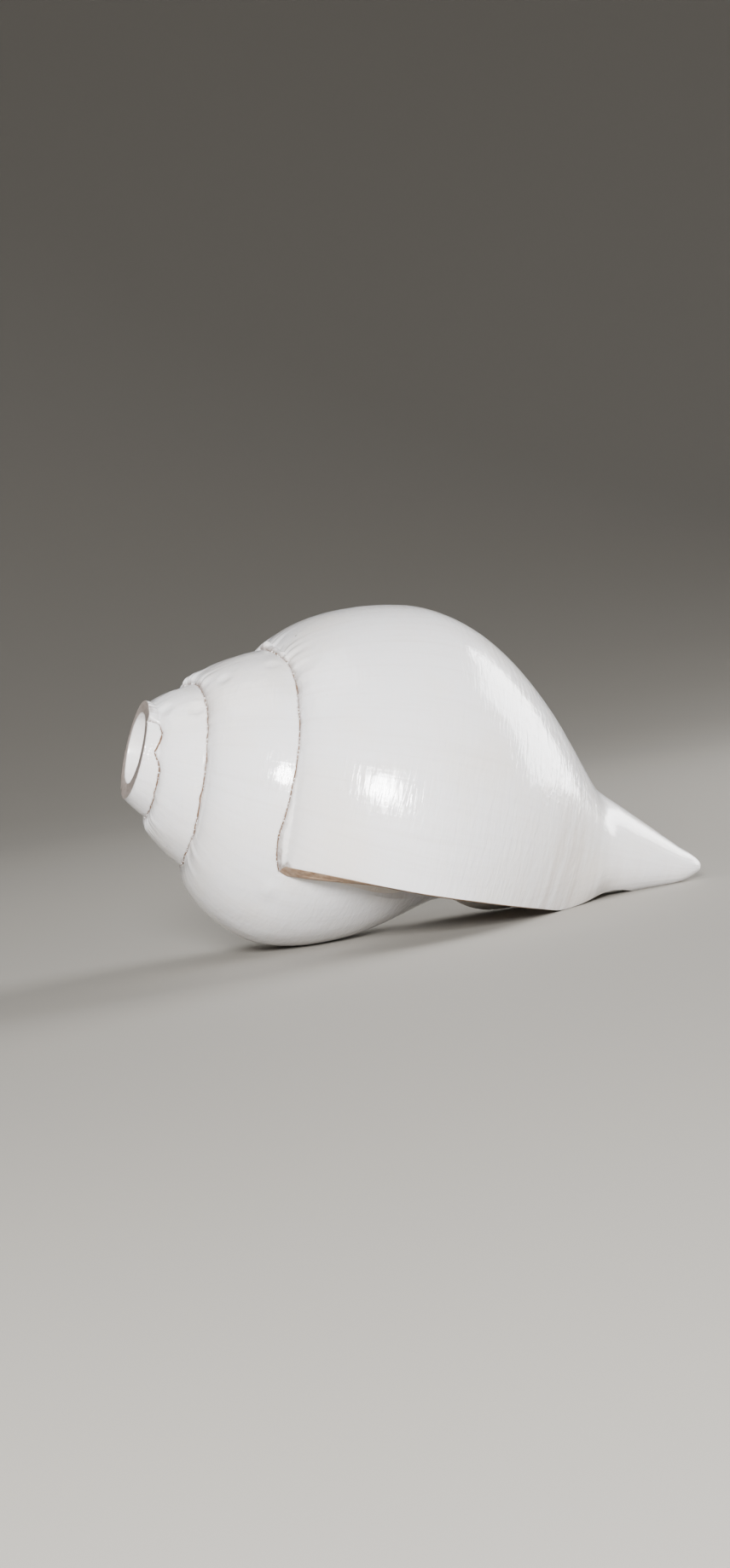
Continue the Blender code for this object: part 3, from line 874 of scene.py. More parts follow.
@dataclass
class ShellSkin:
    """The closed surface of the shell: outside, lip and spiral channel."""

    rule: GrowthRule
    rows: int = 320
    inner_rows: int = 40
    band_columns: int = 36
    body_columns: int = 110
    turns: float = 3.5
    channel_turns: float = 2.12
    arris: tuple[tuple[float, float], ...] = (
        (0.06, 0.16), (0.2, 0.27), (0.47, 0.3), (0.52, 0.3), (0.57, 0.3), (0.8, 0.27), (0.94, 0.16))
    crack_share: float = 0.52
    crack_depth: float = 0.7
    crack_ends: tuple[float, float] = (36.5, 48.5)
    chips: tuple[tuple[float, float, float], ...] = ((57.0, 0.5, 1.2), (59.6, 0.35, 0.8), (63.5, 0.25, 0.9),
                                                     (85.0, 0.25, 0.7), (41.0, 0.3, 0.8))
    points: list[Array] = field(default_factory=list)
    notes: list[Array] = field(default_factory=list)
    faces: list[tuple[int, ...]] = field(default_factory=list)
    zones: list[int] = field(default_factory=list)
    count: int = 0

    def add(self, w: Any, r: Any, psi: Any, age: Any, seam: Any = 0.0, fold: Any = 0.0) -> list[int]:
        """Add a row of points and what is known of them; returns their numbers.

        Args:
            w: millimetres along the axis from the rim's reference.
            r: radius.
            psi: turn round the axis.
            age: turns back from the lip.
            seam: share of dirt, with painted shade on the flank at the lip.
            fold: strength of the pleats.

        Returns:
            The numbers of the points.
        """
        w, r, psi, age, seam, fold = np.broadcast_arrays(*[np.atleast_1d(np.asarray(x, float))
                                                           for x in (w, r, psi, age, seam, fold)])
        lift = self.rule.tip_lift * smooth(w, self.rule.length - 7.0, self.rule.length)
        self.points.append(np.stack([w, -r * np.cos(psi), r * np.sin(psi) + lift], 1))
        self.notes.append(np.stack([age, w * MM, seam, fold], 1))
        first = self.count
        self.count += len(w)
        return list(range(first, self.count))

    def quad(self, ring: tuple[int, ...], zone: Zone) -> None:
        """Add a face, leaving out a corner that comes twice.

        Args:
            ring: numbers of its points.
            zone: how the face is finished.
        """
        kept = tuple(dict.fromkeys(ring))
        if len(kept) > 2:
            self.faces.append(kept)
            self.zones.append(zone.value)

    def weave(self, a: list[int], b: list[int], zone: Zone, flip: bool = False) -> None:
        """Join two rows of equal length with faces.

        Args:
            a: numbers of the first row.
            b: numbers of the second row.
            zone: how the faces are finished.
            flip: whether they face the other way.
        """
        for j in range(len(a) - 1):
            ring = (a[j], a[j + 1], b[j + 1], b[j])
            self.quad(ring[::-1] if flip else ring, zone)

    def fractions(self) -> Array:
        """Column places from the channel's corner to the tip, closest at both ends.

        They are also closer on the front half of the whorl than behind it.

        Returns:
            The places, 0 to 1.
        """
        x = np.linspace(0.0, 1.0, 4001)
        weight = 1.0 + 0.9 * smooth(x, 0.45, 0.53) * (1.0 - smooth(x, 0.80, 0.88))
        weight = weight + 2.0 * (np.exp(-x / 0.02) + np.exp(-(1.0 - x) / 0.03))
        total = np.concatenate(([0.0], np.cumsum(0.5 * (weight[1:] + weight[:-1]))))
        return np.interp(np.linspace(0.0, total[-1], self.body_columns + 1), total, x)

    def band_places(self) -> Array:
        """Column places between two sutures, closest at both of them."""
        x = np.linspace(0.0, 1.0, self.band_columns + 1)
        return x - 0.125 * np.sin(2.0 * math.pi * x)

    def outside(self) -> None:
        """Rows of the spire band and, for the last turn, of body and canal."""
        rule, n = self.rule, self.rows
        last = int(round(self.turns * n))
        places = self.band_places()
        self.tip = self.add(rule.length, 0.0, 0.0, 0.5)[0]
        self.band: dict[int, list[int]] = {}
        for i in range(last, -1, -1):
            age = i / n
            psi = rule.lip_angle + 2.0 * math.pi * age
            start = float(rule.at("ws", age) + rule.seam_offset(age))
            if age + 1.0 < rule.ages[-1]:
                radius = float(rule.outer(age + 1.0, start))
            else:
                radius = float(rule.at("rs", age))
            end = float(rule.at("ws", age - 1.0) + rule.seam_offset(age - 1.0))
            w = start + (end - start) * places
            turn = psi + (rule.lip_shift(w) * (1.0 - age) + rule.columella_shift(w) * age
                          if i < n else 0.0 * w)
            own = (turn - rule.lip_angle) / (2.0 * math.pi)
            # Share of seam dirt, and of painted shade on the flank at the lip.
            seam = rule.grime_and_shade(age, w, w - start)
            if i >= n:
                seam = np.maximum(seam, np.exp(-(end - w) / 0.5))
            r = rule.outer(own, w) + rule.dimple(own, w)
            r = r - (r - radius + 0.15) * np.exp(-(w - start) / 0.26)
            r[0] = radius - rule.seam_depth
            row = self.add(w, r, turn, own, seam, rule.fold(own, w - start))
            self.band[i] = row
        for i in range(n, last + 1):
            self.band[i][-1] = self.band[i - n][0]
        self.last = last

    def bodies(self) -> None:
        """Rows of the last turn from the channel's corner line to the tip."""
        rule, n = self.rule, self.rows
        share = self.fractions()[:-1]
        self.body: dict[int, list[int]] = {}
        corners = np.array([rule.corner(k / 16.0) for k in range(-16, 49)])
        self.corner_ages = np.arange(-16, 49) / 16.0
        self.corner_w = corners
        for i in range(0, n + 1):
            age = i / n
            first = float(np.interp(age - 1.0, self.corner_ages, corners))
            w = first + (rule.length - first) * share
            turn = (rule.lip_angle + 2.0 * math.pi * age + rule.lip_shift(w) * (1.0 - age)
                    + rule.columella_shift(w) * age)
            own = (turn - rule.lip_angle) / (2.0 * math.pi)
            r = rule.outer(own, w) if i < n else rule.inner(0.0, w)
            self.body[i] = [self.band[i][-1]] + self.add(w, r, turn, own) + [self.tip]

    def inside(self) -> None:
        """Rows of the channel: on the older whorl and columella, and on the wall."""
        rule, n = self.rule, self.rows
        self.lip = self.band[0][:-1] + self.body[0]
        everything = np.concatenate(self.points)
        lip_w = everything[self.lip, 0]
        share = (lip_w - lip_w[0]) / (rule.length - lip_w[0])
        deep = int(round(self.channel_turns * self.inner_rows))
        columns = self.fractions()
        self.pillar_side: list[list[int]] = []
        self.wall_side: list[list[int]] = []
        for k in range(deep + 1):
            age = k / self.inner_rows
            psi = rule.lip_angle + 2.0 * math.pi * age
            start = float(np.interp(age, self.corner_ages, self.corner_w))
            end = float(rule.tail(age))
            fade = max(0.0, 1.0 - age / 0.45)**2
            if k == 0:
                pillar = self.body[n][1:]
            else:
                w = start + (end - start) * columns
                pillar = self.add(w, rule.inner(age, w), psi + rule.columella_shift(w) * fade, age)
            s = share[1:-1]
            w = start + (end - start) * s
            base = rule.inner(age, w) if k else rule.columella(0.0, w)
            close = np.sqrt(np.maximum(0.0, 1.0 - s**7.0)) if k else 1.0
            room = np.maximum(rule.outer(age, w) - rule.wall(age, w) - base, 0.25) * close
            shift = rule.lip_shift(w)
            if k:
                shift = shift + (rule.columella_shift(w) - shift) * s**60.0
            angle = psi + shift * fade
            if k == 0:
                outer_w = lip_w[1:-1]
                height = rule.lip_plane(outer_w) - rule.ground_drop * (1.0 - smooth(outer_w, 32.0, 58.0))
                flat = np.arcsin(np.clip(height / (base + room), -0.9, 0.9))
                angle = flat + (angle - flat) * smooth(w, 96.0, 122.0)
            wall = self.add(w, base + room, angle, age)
            self.pillar_side.append(pillar)
            self.wall_side.append([pillar[0]] + wall + [pillar[-1]])

    def lip_face(self) -> None:
        """The ground face of the lip, its arrises just broken and chipped in places."""
        points = np.concatenate(self.points)
        outer = points[self.lip]
        inner = points[self.wall_side[0]]
        w = outer[:, 0]
        radial = np.stack([0.0 * w, outer[:, 1], outer[:, 2]], 1)
        radial /= np.maximum(np.linalg.norm(radial, axis=1), 1e-6)[:, None]
        growth = np.cross(np.array([1.0, 0.0, 0.0]), radial)
        thick = np.linalg.norm(inner - outer, axis=1)
        rows = [self.lip]
        for share, proud in self.arris:
            push = proud * np.minimum(1.0, thick / 2.5)
            for place, depth, width in self.chips:
                push = push - 1.6 * depth * np.exp(-((w - place) / width)**2) * max(0.0, 1.0 - share / 0.5)
            if share == self.crack_share:
                first_w, last_w = self.crack_ends
                opened = smooth(w, first_w, first_w + 1.5) * (1.0 - smooth(w, last_w - 4.0, last_w))
                push = push - self.crack_depth * opened
            spot = outer + (inner - outer) * share + growth * push[:, None]
            first = self.count
            self.points.append(spot[1:-1])
            self.notes.append(np.stack([0.0 * w, w * MM, 0.0 * w, 0.0 * w], 1)[1:-1])
            self.count += len(w) - 2
            rows.append([self.lip[0]] + list(range(first, self.count)) + [self.lip[-1]])
        rows.append(self.wall_side[0])
        for a, b in zip(rows[:-1], rows[1:]):
            for j in range(len(a) - 1):
                ring = [a[j + 1], a[j], b[j], b[j + 1]]
                self.quad(tuple(ring), Zone.GROUND)

    def close(self) -> None:
        """Join the rows, and close the channel's end and the hidden apex."""
        n = self.rows
        for i in range(self.last):
            self.weave(self.band[i], self.band[i + 1], Zone.SKIN)
        for i in range(n):
            self.weave(self.body[i], self.body[i + 1], Zone.SKIN)
        for a, b in zip(self.pillar_side[:-1], self.pillar_side[1:]):
            self.weave(a, b, Zone.INSIDE)
        for a, b in zip(self.wall_side[:-1], self.wall_side[1:]):
            self.weave(a, b, Zone.INSIDE, flip=True)
        loop = self.pillar_side[-1] + self.wall_side[-1][-2:0:-1]
        middle = np.concatenate(self.points)[loop].mean(axis=0)
        centre = self.count
        self.points.append(middle[None])
        self.notes.append(np.array([[self.channel_turns, middle[0] * MM, 0.0, 0.0]]))
        self.count += 1
        for j, v in enumerate(loop):
            self.quad((v, loop[(j + 1) % len(loop)], centre), Zone.INSIDE)
        apex = self.add(-14.0, 0.0, 0.0, self.turns)[0]
        for i in range(self.last - n, self.last):
            self.quad((self.band[i][0], self.band[i + 1][0], apex), Zone.SKIN)
        self.weave([apex] * (self.band_columns + 1), self.band[self.last], Zone.SKIN, flip=True)

    def build(self, name: str, pose: RestPose) -> bpy.types.Object:
        """Make the closed surface as one object in the row's frame.

        Args:
            name: name of the object.
            pose: place of the shell in the row's frame.

        Returns:
            The object, with its zones as material slots and its notes as attributes.
        """
        self.outside()
        self.bodies()
        self.inside()
        self.lip_face()
        self.close()
        points = np.concatenate(self.points)
        notes = np.concatenate(self.notes)
        item = link_mesh(name, pose.place(points), self.faces)
        mesh = item.data
        mesh.polygons.foreach_set("material_index", np.array(self.zones, np.int32))
        for column, label in enumerate(("age", "along", "seam", "fold")):
            point_attribute(mesh, label, notes[:, column])
        skin = np.zeros(len(points))
        for face, zone in zip(self.faces, self.zones):
            if zone == Zone.SKIN.value:
                skin[list(face)] = 1.0
        for face, zone in zip(self.faces, self.zones):
            if zone != Zone.SKIN.value:
                skin[list(face)] = 0.0
        point_attribute(mesh, "skin", skin)
        work = bmesh.new()
        work.from_mesh(mesh)
        bmesh.ops.triangulate(work, faces=work.faces[:])
        bmesh.ops.recalc_face_normals(work, faces=work.faces[:])
        work.to_mesh(mesh)
        work.free()
        return item

    def seam_points(self, ends: tuple[float, float], lift: float) -> Array:
        """The seam between the whorls as points in the shell's frame.

        Args:
            ends: youngest and oldest age.
            lift: millimetres above the older whorl.

        Returns:
            The points.
        """
        rule = self.rule
        age = np.arange(ends[0], ends[1], 1.0 / 700.0)
        w = rule.at("ws", age) + rule.seam_offset(age)
        r = rule.outer(age + 1.0, w) + lift
        psi = rule.lip_angle + 2.0 * math.pi * age
        return np.stack([w, -r * np.cos(psi), r * np.sin(psi)], 1)


@dataclass
class Relief:
    """Low growth relief of the outside, as a Geometry Nodes tree. Sizes in metres.

    waves_per, folds_per and threads_per hold how many come in a turn and in a metre.
    """

    wave: float = 0.00016
    dent: float = 0.00022
    dimple: float = 0.00045
    pucker: float = 0.005
    thread: float = 0.00007
    seed: float = 3.7
    waves_per: tuple[float, float] = (26.0, 14.0)
    folds_per: tuple[float, float] = (95.0, 30.0)
    threads_per: tuple[float, float] = (5.0, 480.0)
    dents_per_metre: float = 110.0
    hollows_per_metre: float = 150.0
    top_turn: float = 0.30

    def tree(self) -> bpy.types.NodeTree:
        """Tree that moves the outside along its normals.

        Returns:
            The Geometry Nodes tree.
        """
        tree, start, end = new_tree("growth relief", {
            "Wave": ("NodeSocketFloat", self.wave), "Dent": ("NodeSocketFloat", self.dent),
            "Dimple": ("NodeSocketFloat", self.dimple), "Pucker": ("NodeSocketFloat", self.pucker),
            "Thread": ("NodeSocketFloat", self.thread), "Seed": ("NodeSocketFloat", self.seed)})
        age, along, fold, skin = (
            add_node(tree, "GeometryNodeInputNamedAttribute", {"data_type": "FLOAT"},
                     {"Name": name}).outputs[0]
            for name in ("age", "along", "fold", "skin"))
        place = add_node(tree, "GeometryNodeInputPosition").outputs[0]
        growth = add_node(tree, "ShaderNodeCombineXYZ", None,
                          {"X": age, "Y": along, "Z": start.outputs["Seed"]})
        grown, folded, threaded = (
            add_node(tree, "ShaderNodeVectorMath", {"operation": "MULTIPLY"},
                     {0: growth.outputs[0], 1: (per_turn, per_metre, 1.0)}).outputs[0]
            for per_turn, per_metre in (self.waves_per, self.folds_per, self.threads_per))
        on_spire = add_node(tree, "ShaderNodeMapRange", None,
                            {"Value": age, "From Min": 0.25, "From Max": 1.3, "To Min": 0.7, "To Max": 2.0})
        front = add_node(tree, "ShaderNodeMapRange", {"interpolation_type": "SMOOTHSTEP"},
                         {"Value": along, "From Min": 0.080, "From Max": 0.112, "To Max": 2.0})
        hollow = self.hollows(tree, place, age, along, start.outputs["Dimple"])
        pucker = self.puckers(tree, folded, fold, start.outputs["Pucker"])
        total = add_node(tree, "ShaderNodeMath", {"operation": "SUBTRACT"},
                         {0: pucker, 1: hollow}).outputs[0]
        for vector, scale, detail, label, limit in (
                (grown, 1.0, 2.0, "Wave", 1.0),
                (place, self.dents_per_metre, 1.0, "Dent", on_spire.outputs[0]),
                (threaded, 1.0, 1.0, "Thread", front.outputs[0])):
            noise = add_node(tree, "ShaderNodeTexNoise", None,
                             {"Vector": vector, "Scale": scale, "Detail": detail,
                              "Roughness": 0.4 if label == "Dent" else 0.5})
            height = add_node(tree, "ShaderNodeMath", {"operation": "SUBTRACT"},
                              {0: noise.outputs[0], 1: 0.5}).outputs[0]
            for factor in (start.outputs[label], limit):
                height = add_node(tree, "ShaderNodeMath", {"operation": "MULTIPLY"},
                                  {0: height, 1: factor}).outputs[0]
            total = add_node(tree, "ShaderNodeMath", {"operation": "ADD"}, {0: total, 1: height}).outputs[0]
        total = add_node(tree, "ShaderNodeMath", {"operation": "MULTIPLY"}, {0: total, 1: skin}).outputs[0]
        normal = add_node(tree, "GeometryNodeInputNormal").outputs[0]
        offset = add_node(tree, "ShaderNodeVectorMath", {"operation": "SCALE"}, {0: normal, "Scale": total})
        moved = add_node(tree, "GeometryNodeSetPosition", None,
                         {"Geometry": start.outputs["Geometry"], "Offset": offset.outputs[0]})
        whole = add_node(tree, "GeometryNodeRealizeInstances", None, {0: moved.outputs[0]})
        tree.links.new(whole.outputs[0], end.inputs[0])
        return tree

    def hollows(self, tree: bpy.types.NodeTree, place: Any, age: Any, along: Any, depth: Any) -> Any:
        """Soft hollows on the upper side of the spire.

        Args:
            tree: the Geometry Nodes tree.
            place: position socket.
            age: turns back from the lip.
            along: place along the axis.
            depth: socket of the greatest depth.

        Returns:
            The depth socket.
        """
        cells = add_node(tree, "ShaderNodeTexVoronoi", {"feature": "F1"},
                         {"Vector": place, "Scale": self.hollows_per_metre, "Randomness": 0.9})
        hollow = add_node(tree, "ShaderNodeMapRange", {"interpolation_type": "SMOOTHSTEP"},
                          {"Value": cells.outputs["Distance"], "From Min": 0.12, "From Max": 0.42,
                           "To Min": 1.0, "To Max": 0.0}).outputs[0]
        chance = add_node(tree, "FunctionNodeSeparateColor", None, {0: cells.outputs["Color"]})
        picked = add_node(tree, "ShaderNodeMath", {"operation": "GREATER_THAN"},
                          {0: chance.outputs[0], 1: 0.45})
        turned = add_node(tree, "ShaderNodeMath", {"operation": "FRACT"}, {0: age})
        off = add_node(tree, "ShaderNodeMath", {"operation": "SUBTRACT"},
                       {0: turned.outputs[0], 1: self.top_turn})
        off = add_node(tree, "ShaderNodeMath", {"operation": "ABSOLUTE"}, {0: off.outputs[0]})
        upper = add_node(tree, "ShaderNodeMapRange", {"interpolation_type": "SMOOTHSTEP"},
                         {"Value": off.outputs[0], "From Min": 0.07, "From Max": 0.16, "To Min": 1.0,
                          "To Max": 0.0})
        spire = add_node(tree, "ShaderNodeMapRange", {"interpolation_type": "SMOOTHSTEP"},
                         {"Value": along, "From Min": 0.020, "From Max": 0.032, "To Min": 1.0,
                          "To Max": 0.0})
        for factor in (picked.outputs[0], upper.outputs[0], spire.outputs[0], depth):
            hollow = add_node(tree, "ShaderNodeMath", {"operation": "MULTIPLY"},
                              {0: hollow, 1: factor}).outputs[0]
        return hollow

    def puckers(self, tree: bpy.types.NodeTree, folded: Any, fold: Any, height: Any) -> Any:
        """Short pleats across the seam.

        Args:
            tree: the Geometry Nodes tree.
            folded: coordinates of the pleats.
            fold: where they are strong.
            height: socket of their height.

        Returns:
            The height socket.
        """
        folds = add_node(tree, "ShaderNodeTexNoise", None, {"Vector": folded, "Scale": 1.0, "Detail": 0.0})
        ridge = add_node(tree, "ShaderNodeMath", {"operation": "SUBTRACT"}, {0: folds.outputs[0], 1: 0.42})
        pleat = add_node(tree, "ShaderNodeMath", {"operation": "MAXIMUM"},
                         {0: ridge.outputs[0], 1: 0.0}).outputs[0]
        for factor in (fold, height):
            pleat = add_node(tree, "ShaderNodeMath", {"operation": "MULTIPLY"},
                             {0: pleat, 1: factor}).outputs[0]
        return pleat


@dataclass
class SawAndBore:
    """Flat saw cut across the spire and the tapered blowing hole. Sizes in millimetres."""

    saw_w: float = -1.35
    mouth_radius: float = 8.8
    end_radius: float = 7.8
    depth: float = 26.0
    shift: float = 0.7
    arris: float = 0.35
    behind: float = 30.0
    clear: float = 40.0
    sides: int = 96

    def cutter(self, pose: RestPose, sawn: bpy.types.Material,
               bored: bpy.types.Material) -> bpy.types.Object:
        """Turned solid that takes away the apex and the bore.

        Args:
            pose: place of the shell in the row's frame.
            sawn: material of the saw cut.
            bored: material of the bore.

        Returns:
            The cutter, hidden from the render.
        """
        profile = ((-self.behind, 0.0, 0), (-self.behind, self.clear, 0), (0.0, self.clear, 0),
                   (0.0, self.mouth_radius + self.arris, 1),
                   (0.15, self.mouth_radius + 0.1, 1), (0.5, self.mouth_radius, 1),
                   (self.depth, self.end_radius, 1), (self.depth + 3.0, 0.0, 1))
        turn = Matrix.Translation((self.saw_w, 0.0, 0.0))
        angles = 2.0 * math.pi * (np.arange(self.sides) + 0.37) / self.sides
        points = [(profile[0][0], 0.0, 0.0)]
        for w, r, _ in profile[1:-1]:
            lift = self.shift if r < self.clear else 0.0
            points += [(w, -r * math.cos(a), r * math.sin(a) + lift) for a in angles]
        points.append((profile[-1][0], 0.0, 0.0))
        faces: list[tuple[int, ...]] = []
        slots: list[int] = []
        rings = len(profile) - 2
        for j in range(self.sides):
            k = (j + 1) % self.sides
            faces.append((0, 1 + j, 1 + k))
            slots.append(0)
            for ring in range(rings - 1):
                a, b = 1 + ring * self.sides, 1 + (ring + 1) * self.sides
                faces.append((a + j, b + j, b + k, a + k))
                slots.append(profile[ring + 2][2] if ring > 1 else 0)
            faces.append((len(points) - 1, 1 + (rings - 1) * self.sides + k,
                          1 + (rings - 1) * self.sides + j))
            slots.append(1)
        turned = np.array([tuple(turn @ Vector(p)) for p in points])
        item = link_mesh("saw_and_bore", pose.place(turned), faces)
        item.data.materials.append(sawn)
        item.data.materials.append(bored)
        item.data.polygons.foreach_set("material_index", np.array(slots, np.int32))
        work = bmesh.new()
        work.from_mesh(item.data)
        bmesh.ops.recalc_face_normals(work, faces=work.faces[:])
        work.to_mesh(item.data)
        work.free()
        item.hide_render = True
        return item

    def cut(self, shell: bpy.types.Object, cutter: bpy.types.Object) -> bpy.types.Object:
        """Cut the shell and keep the result as a plain mesh.

        Args:
            shell: the closed surface; it is replaced.
            cutter: the turned solid; it is removed.

        Returns:
            The cut shell.
        """
        modifier = shell.modifiers.new("cut", "BOOLEAN")
        modifier.operation = "DIFFERENCE"
        modifier.solver = "EXACT"
        modifier.material_mode = "TRANSFER"
        modifier.object = cutter
        result = plain_mesh(shell)
        bpy.data.objects.remove(cutter, do_unlink=True)
        return result


@dataclass
class SeamFilling:
    """Dirt line and grains lodged in the seam between the whorls. Sizes in metres."""

    skin: ShellSkin
    pose: RestPose
    ends: tuple[float, float] = (0.002, 2.205)
    sunk_mm: float = -0.12
    line_radius: float = 0.00017
    line_sides: int = 6
    grain_radius: float = 0.00012
    grains: int = 300
    bead_radius: float = 0.00024
    beads: int = 380
    strewn: float = 0.00025
    seed: int = 11

    def path(self, name: str) -> bpy.types.Object:
        """Mesh of edges that follows the seam.

        Args:
            name: name of the object.

        Returns:
            The object.
        """
        points = self.pose.place(self.skin.seam_points(self.ends, self.sunk_mm))
        return link_mesh(name, points, [], [(k, k + 1) for k in range(len(points) - 1)])

    def line_tree(self) -> bpy.types.NodeTree:
        """Tree that runs a line of uneven width along the path.

        Returns:
            The Geometry Nodes tree.
        """
        tree, start, end = new_tree("packed seam", {
            "Radius": ("NodeSocketFloat", self.line_radius), "Material": ("NodeSocketMaterial", None)})
        curve = add_node(tree, "GeometryNodeMeshToCurve", None, {"Mesh": start.outputs["Geometry"]})
        place = add_node(tree, "GeometryNodeInputPosition").outputs[0]
        noise = add_node(tree, "ShaderNodeTexNoise", None,
                         {"Vector": place, "Scale": 420.0, "Detail": 3.0, "Roughness": 0.7})
        width = add_node(tree, "ShaderNodeMapRange", None,
                         {"Value": noise.outputs[0], "From Min": 0.3, "From Max": 0.72, "To Min": 0.25,
                          "To Max": 1.7})
        radius = add_node(tree, "ShaderNodeMath", {"operation": "MULTIPLY"},
                          {0: width.outputs[0], 1: start.outputs["Radius"]})
        ring = add_node(tree, "GeometryNodeCurvePrimitiveCircle", None,
                        {"Resolution": self.line_sides, "Radius": 1.0})
        swept = add_node(tree, "GeometryNodeCurveToMesh", None,
                         {"Curve": curve.outputs[0], "Profile Curve": ring.outputs[0],
                          "Scale": radius.outputs[0],
                          "Fill Caps": True})
        finish_tree(tree, end, swept.outputs[0], start.outputs["Material"])
        return tree

    def grain_tree(self) -> bpy.types.NodeTree:
        """Tree that lodges grains of uneven size along the path.

        Returns:
            The Geometry Nodes tree.
        """
        tree, start, end = new_tree("lodged grains", {
            "Count": ("NodeSocketInt", self.grains), "Radius": ("NodeSocketFloat", self.grain_radius),
            "Seed": ("NodeSocketInt", self.seed), "Material": ("NodeSocketMaterial", None)})
        curve = add_node(tree, "GeometryNodeMeshToCurve", None, {"Mesh": start.outputs["Geometry"]})
        spots = add_node(tree, "GeometryNodeCurveToPoints", {"mode": "COUNT"},
                         {"Curve": curve.outputs[0], "Count": start.outputs["Count"]})
        shift, size, turn = (
            add_node(tree, "FunctionNodeRandomValue", {"data_type": "FLOAT_VECTOR"},
                     {0: low, 1: high, "Seed": start.outputs["Seed"]}).outputs[0]
            for low, high in (((-self.strewn,) * 3, (self.strewn,) * 3), ((0.35,) * 3, (1.6, 1.1, 0.9)),
                              ((0.0,) * 3, (6.28,) * 3)))
        strewn = add_node(tree, "GeometryNodeSetPosition", None,
                          {"Geometry": spots.outputs["Points"], "Offset": shift})
        grain = add_node(tree, "GeometryNodeMeshIcoSphere", None,
                         {"Radius": start.outputs["Radius"], "Subdivisions": 2})
        lodged = add_node(tree, "GeometryNodeInstanceOnPoints", None,
                          {"Points": strewn.outputs[0], "Instance": grain.outputs[0], "Rotation": turn,
                           "Scale": size})
        finish_tree(tree, end, lodged.outputs[0], start.outputs["Material"])
        return tree

    def build(self) -> list[bpy.types.Object]:
        """Make the dirt line, the chalky grains and the white beads.

        Returns:
            The three pieces.
        """
        pieces = [run_tree(self.path("seam_dirt"), self.line_tree(),
                           {"Radius": self.line_radius, "Material": PACKED_DIRT.build()})]
        tree = self.grain_tree()
        for name, count, radius, seed, finish in (
                ("seam_grains", self.grains, self.grain_radius, self.seed, CHALK_GRAIN),
                ("seam_beads", self.beads, self.bead_radius, self.seed + 5, BORE_WALL)):
            pieces.append(run_tree(self.path(name), tree,
                                   {"Count": count, "Radius": radius, "Seed": seed,
                                    "Material": finish.build()}))
        return pieces


@dataclass
class Conch:
    """The whole shell: skin, relief, saw cut and bore, and what lies in its seam."""

    rule: GrowthRule = field(default_factory=GrowthRule)
    pose: RestPose = field(default_factory=RestPose)
    relief: Relief = field(default_factory=Relief)
    saw: SawAndBore = field(default_factory=SawAndBore)

    def build(self) -> list[bpy.types.Object]:
        """Build and dress every piece.

        Returns:
            The pieces, each a plain mesh at the origin.
        """
        skin = ShellSkin(self.rule)
        shell = skin.build("shell_body", self.pose)
        LOG.info("skin: %d faces", len(shell.data.polygons))
        values = {"Wave": self.relief.wave, "Dent": self.relief.dent, "Dimple": self.relief.dimple,
                  "Pucker": self.relief.pucker, "Thread": self.relief.thread, "Seed": self.relief.seed}
        for finish in (PolishedShell(), INNER_GLAZE, GROUND_LIP_WITH_SHADE):
            shell.data.materials.append(finish.build())
        cutter = self.saw.cutter(self.pose, SAWN_RIM_WITH_SHADE.build(), BORE_WALL.build())
        shell = self.saw.cut(shell, cutter)
        shell = run_tree(shell, self.relief.tree(), values)
        shell.data.shade_smooth()
        shell.data.set_sharp_from_angle(angle=math.radians(38.0))
        LOG.info("shell body: %d faces", len(shell.data.polygons))
        pieces = [shell] + SeamFilling(skin, self.pose).build()
        for piece in pieces:
            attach(piece, BODY)
            LOG.info("piece %s: %d faces", piece.name, len(piece.data.polygons))
        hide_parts(NODE)
        return pieces


# Studio


@dataclass(frozen=True)
class Lamp:
    """Area lamp placed by the camera's own axes. Sizes in metres, power in watts."""

    name: str
    shape: str
    toward: tuple[float, float, float]
    distance: float
    size: tuple[float, float]
    power: float

    def build(self, axes: tuple[Vector, Vector, Vector], middle: Vector) -> None:
        """Add the lamp, facing the shell.

        Args:
            axes: the camera's right, up and backward directions.
            middle: the point that the lamp faces.
        """
        direction = sum((axis * part for axis, part in zip(axes, self.toward)), Vector())
        data = bpy.data.lights.new(self.name, "AREA")
        data.shape = self.shape
        data.size, data.size_y = self.size
        data.energy = self.power
        item = bpy.data.objects.new(self.name, data)
        bpy.context.scene.collection.objects.link(item)
        item.location = middle + direction.normalized() * self.distance
        item.rotation_euler = (-direction).to_track_quat("-Z", "Y").to_euler()


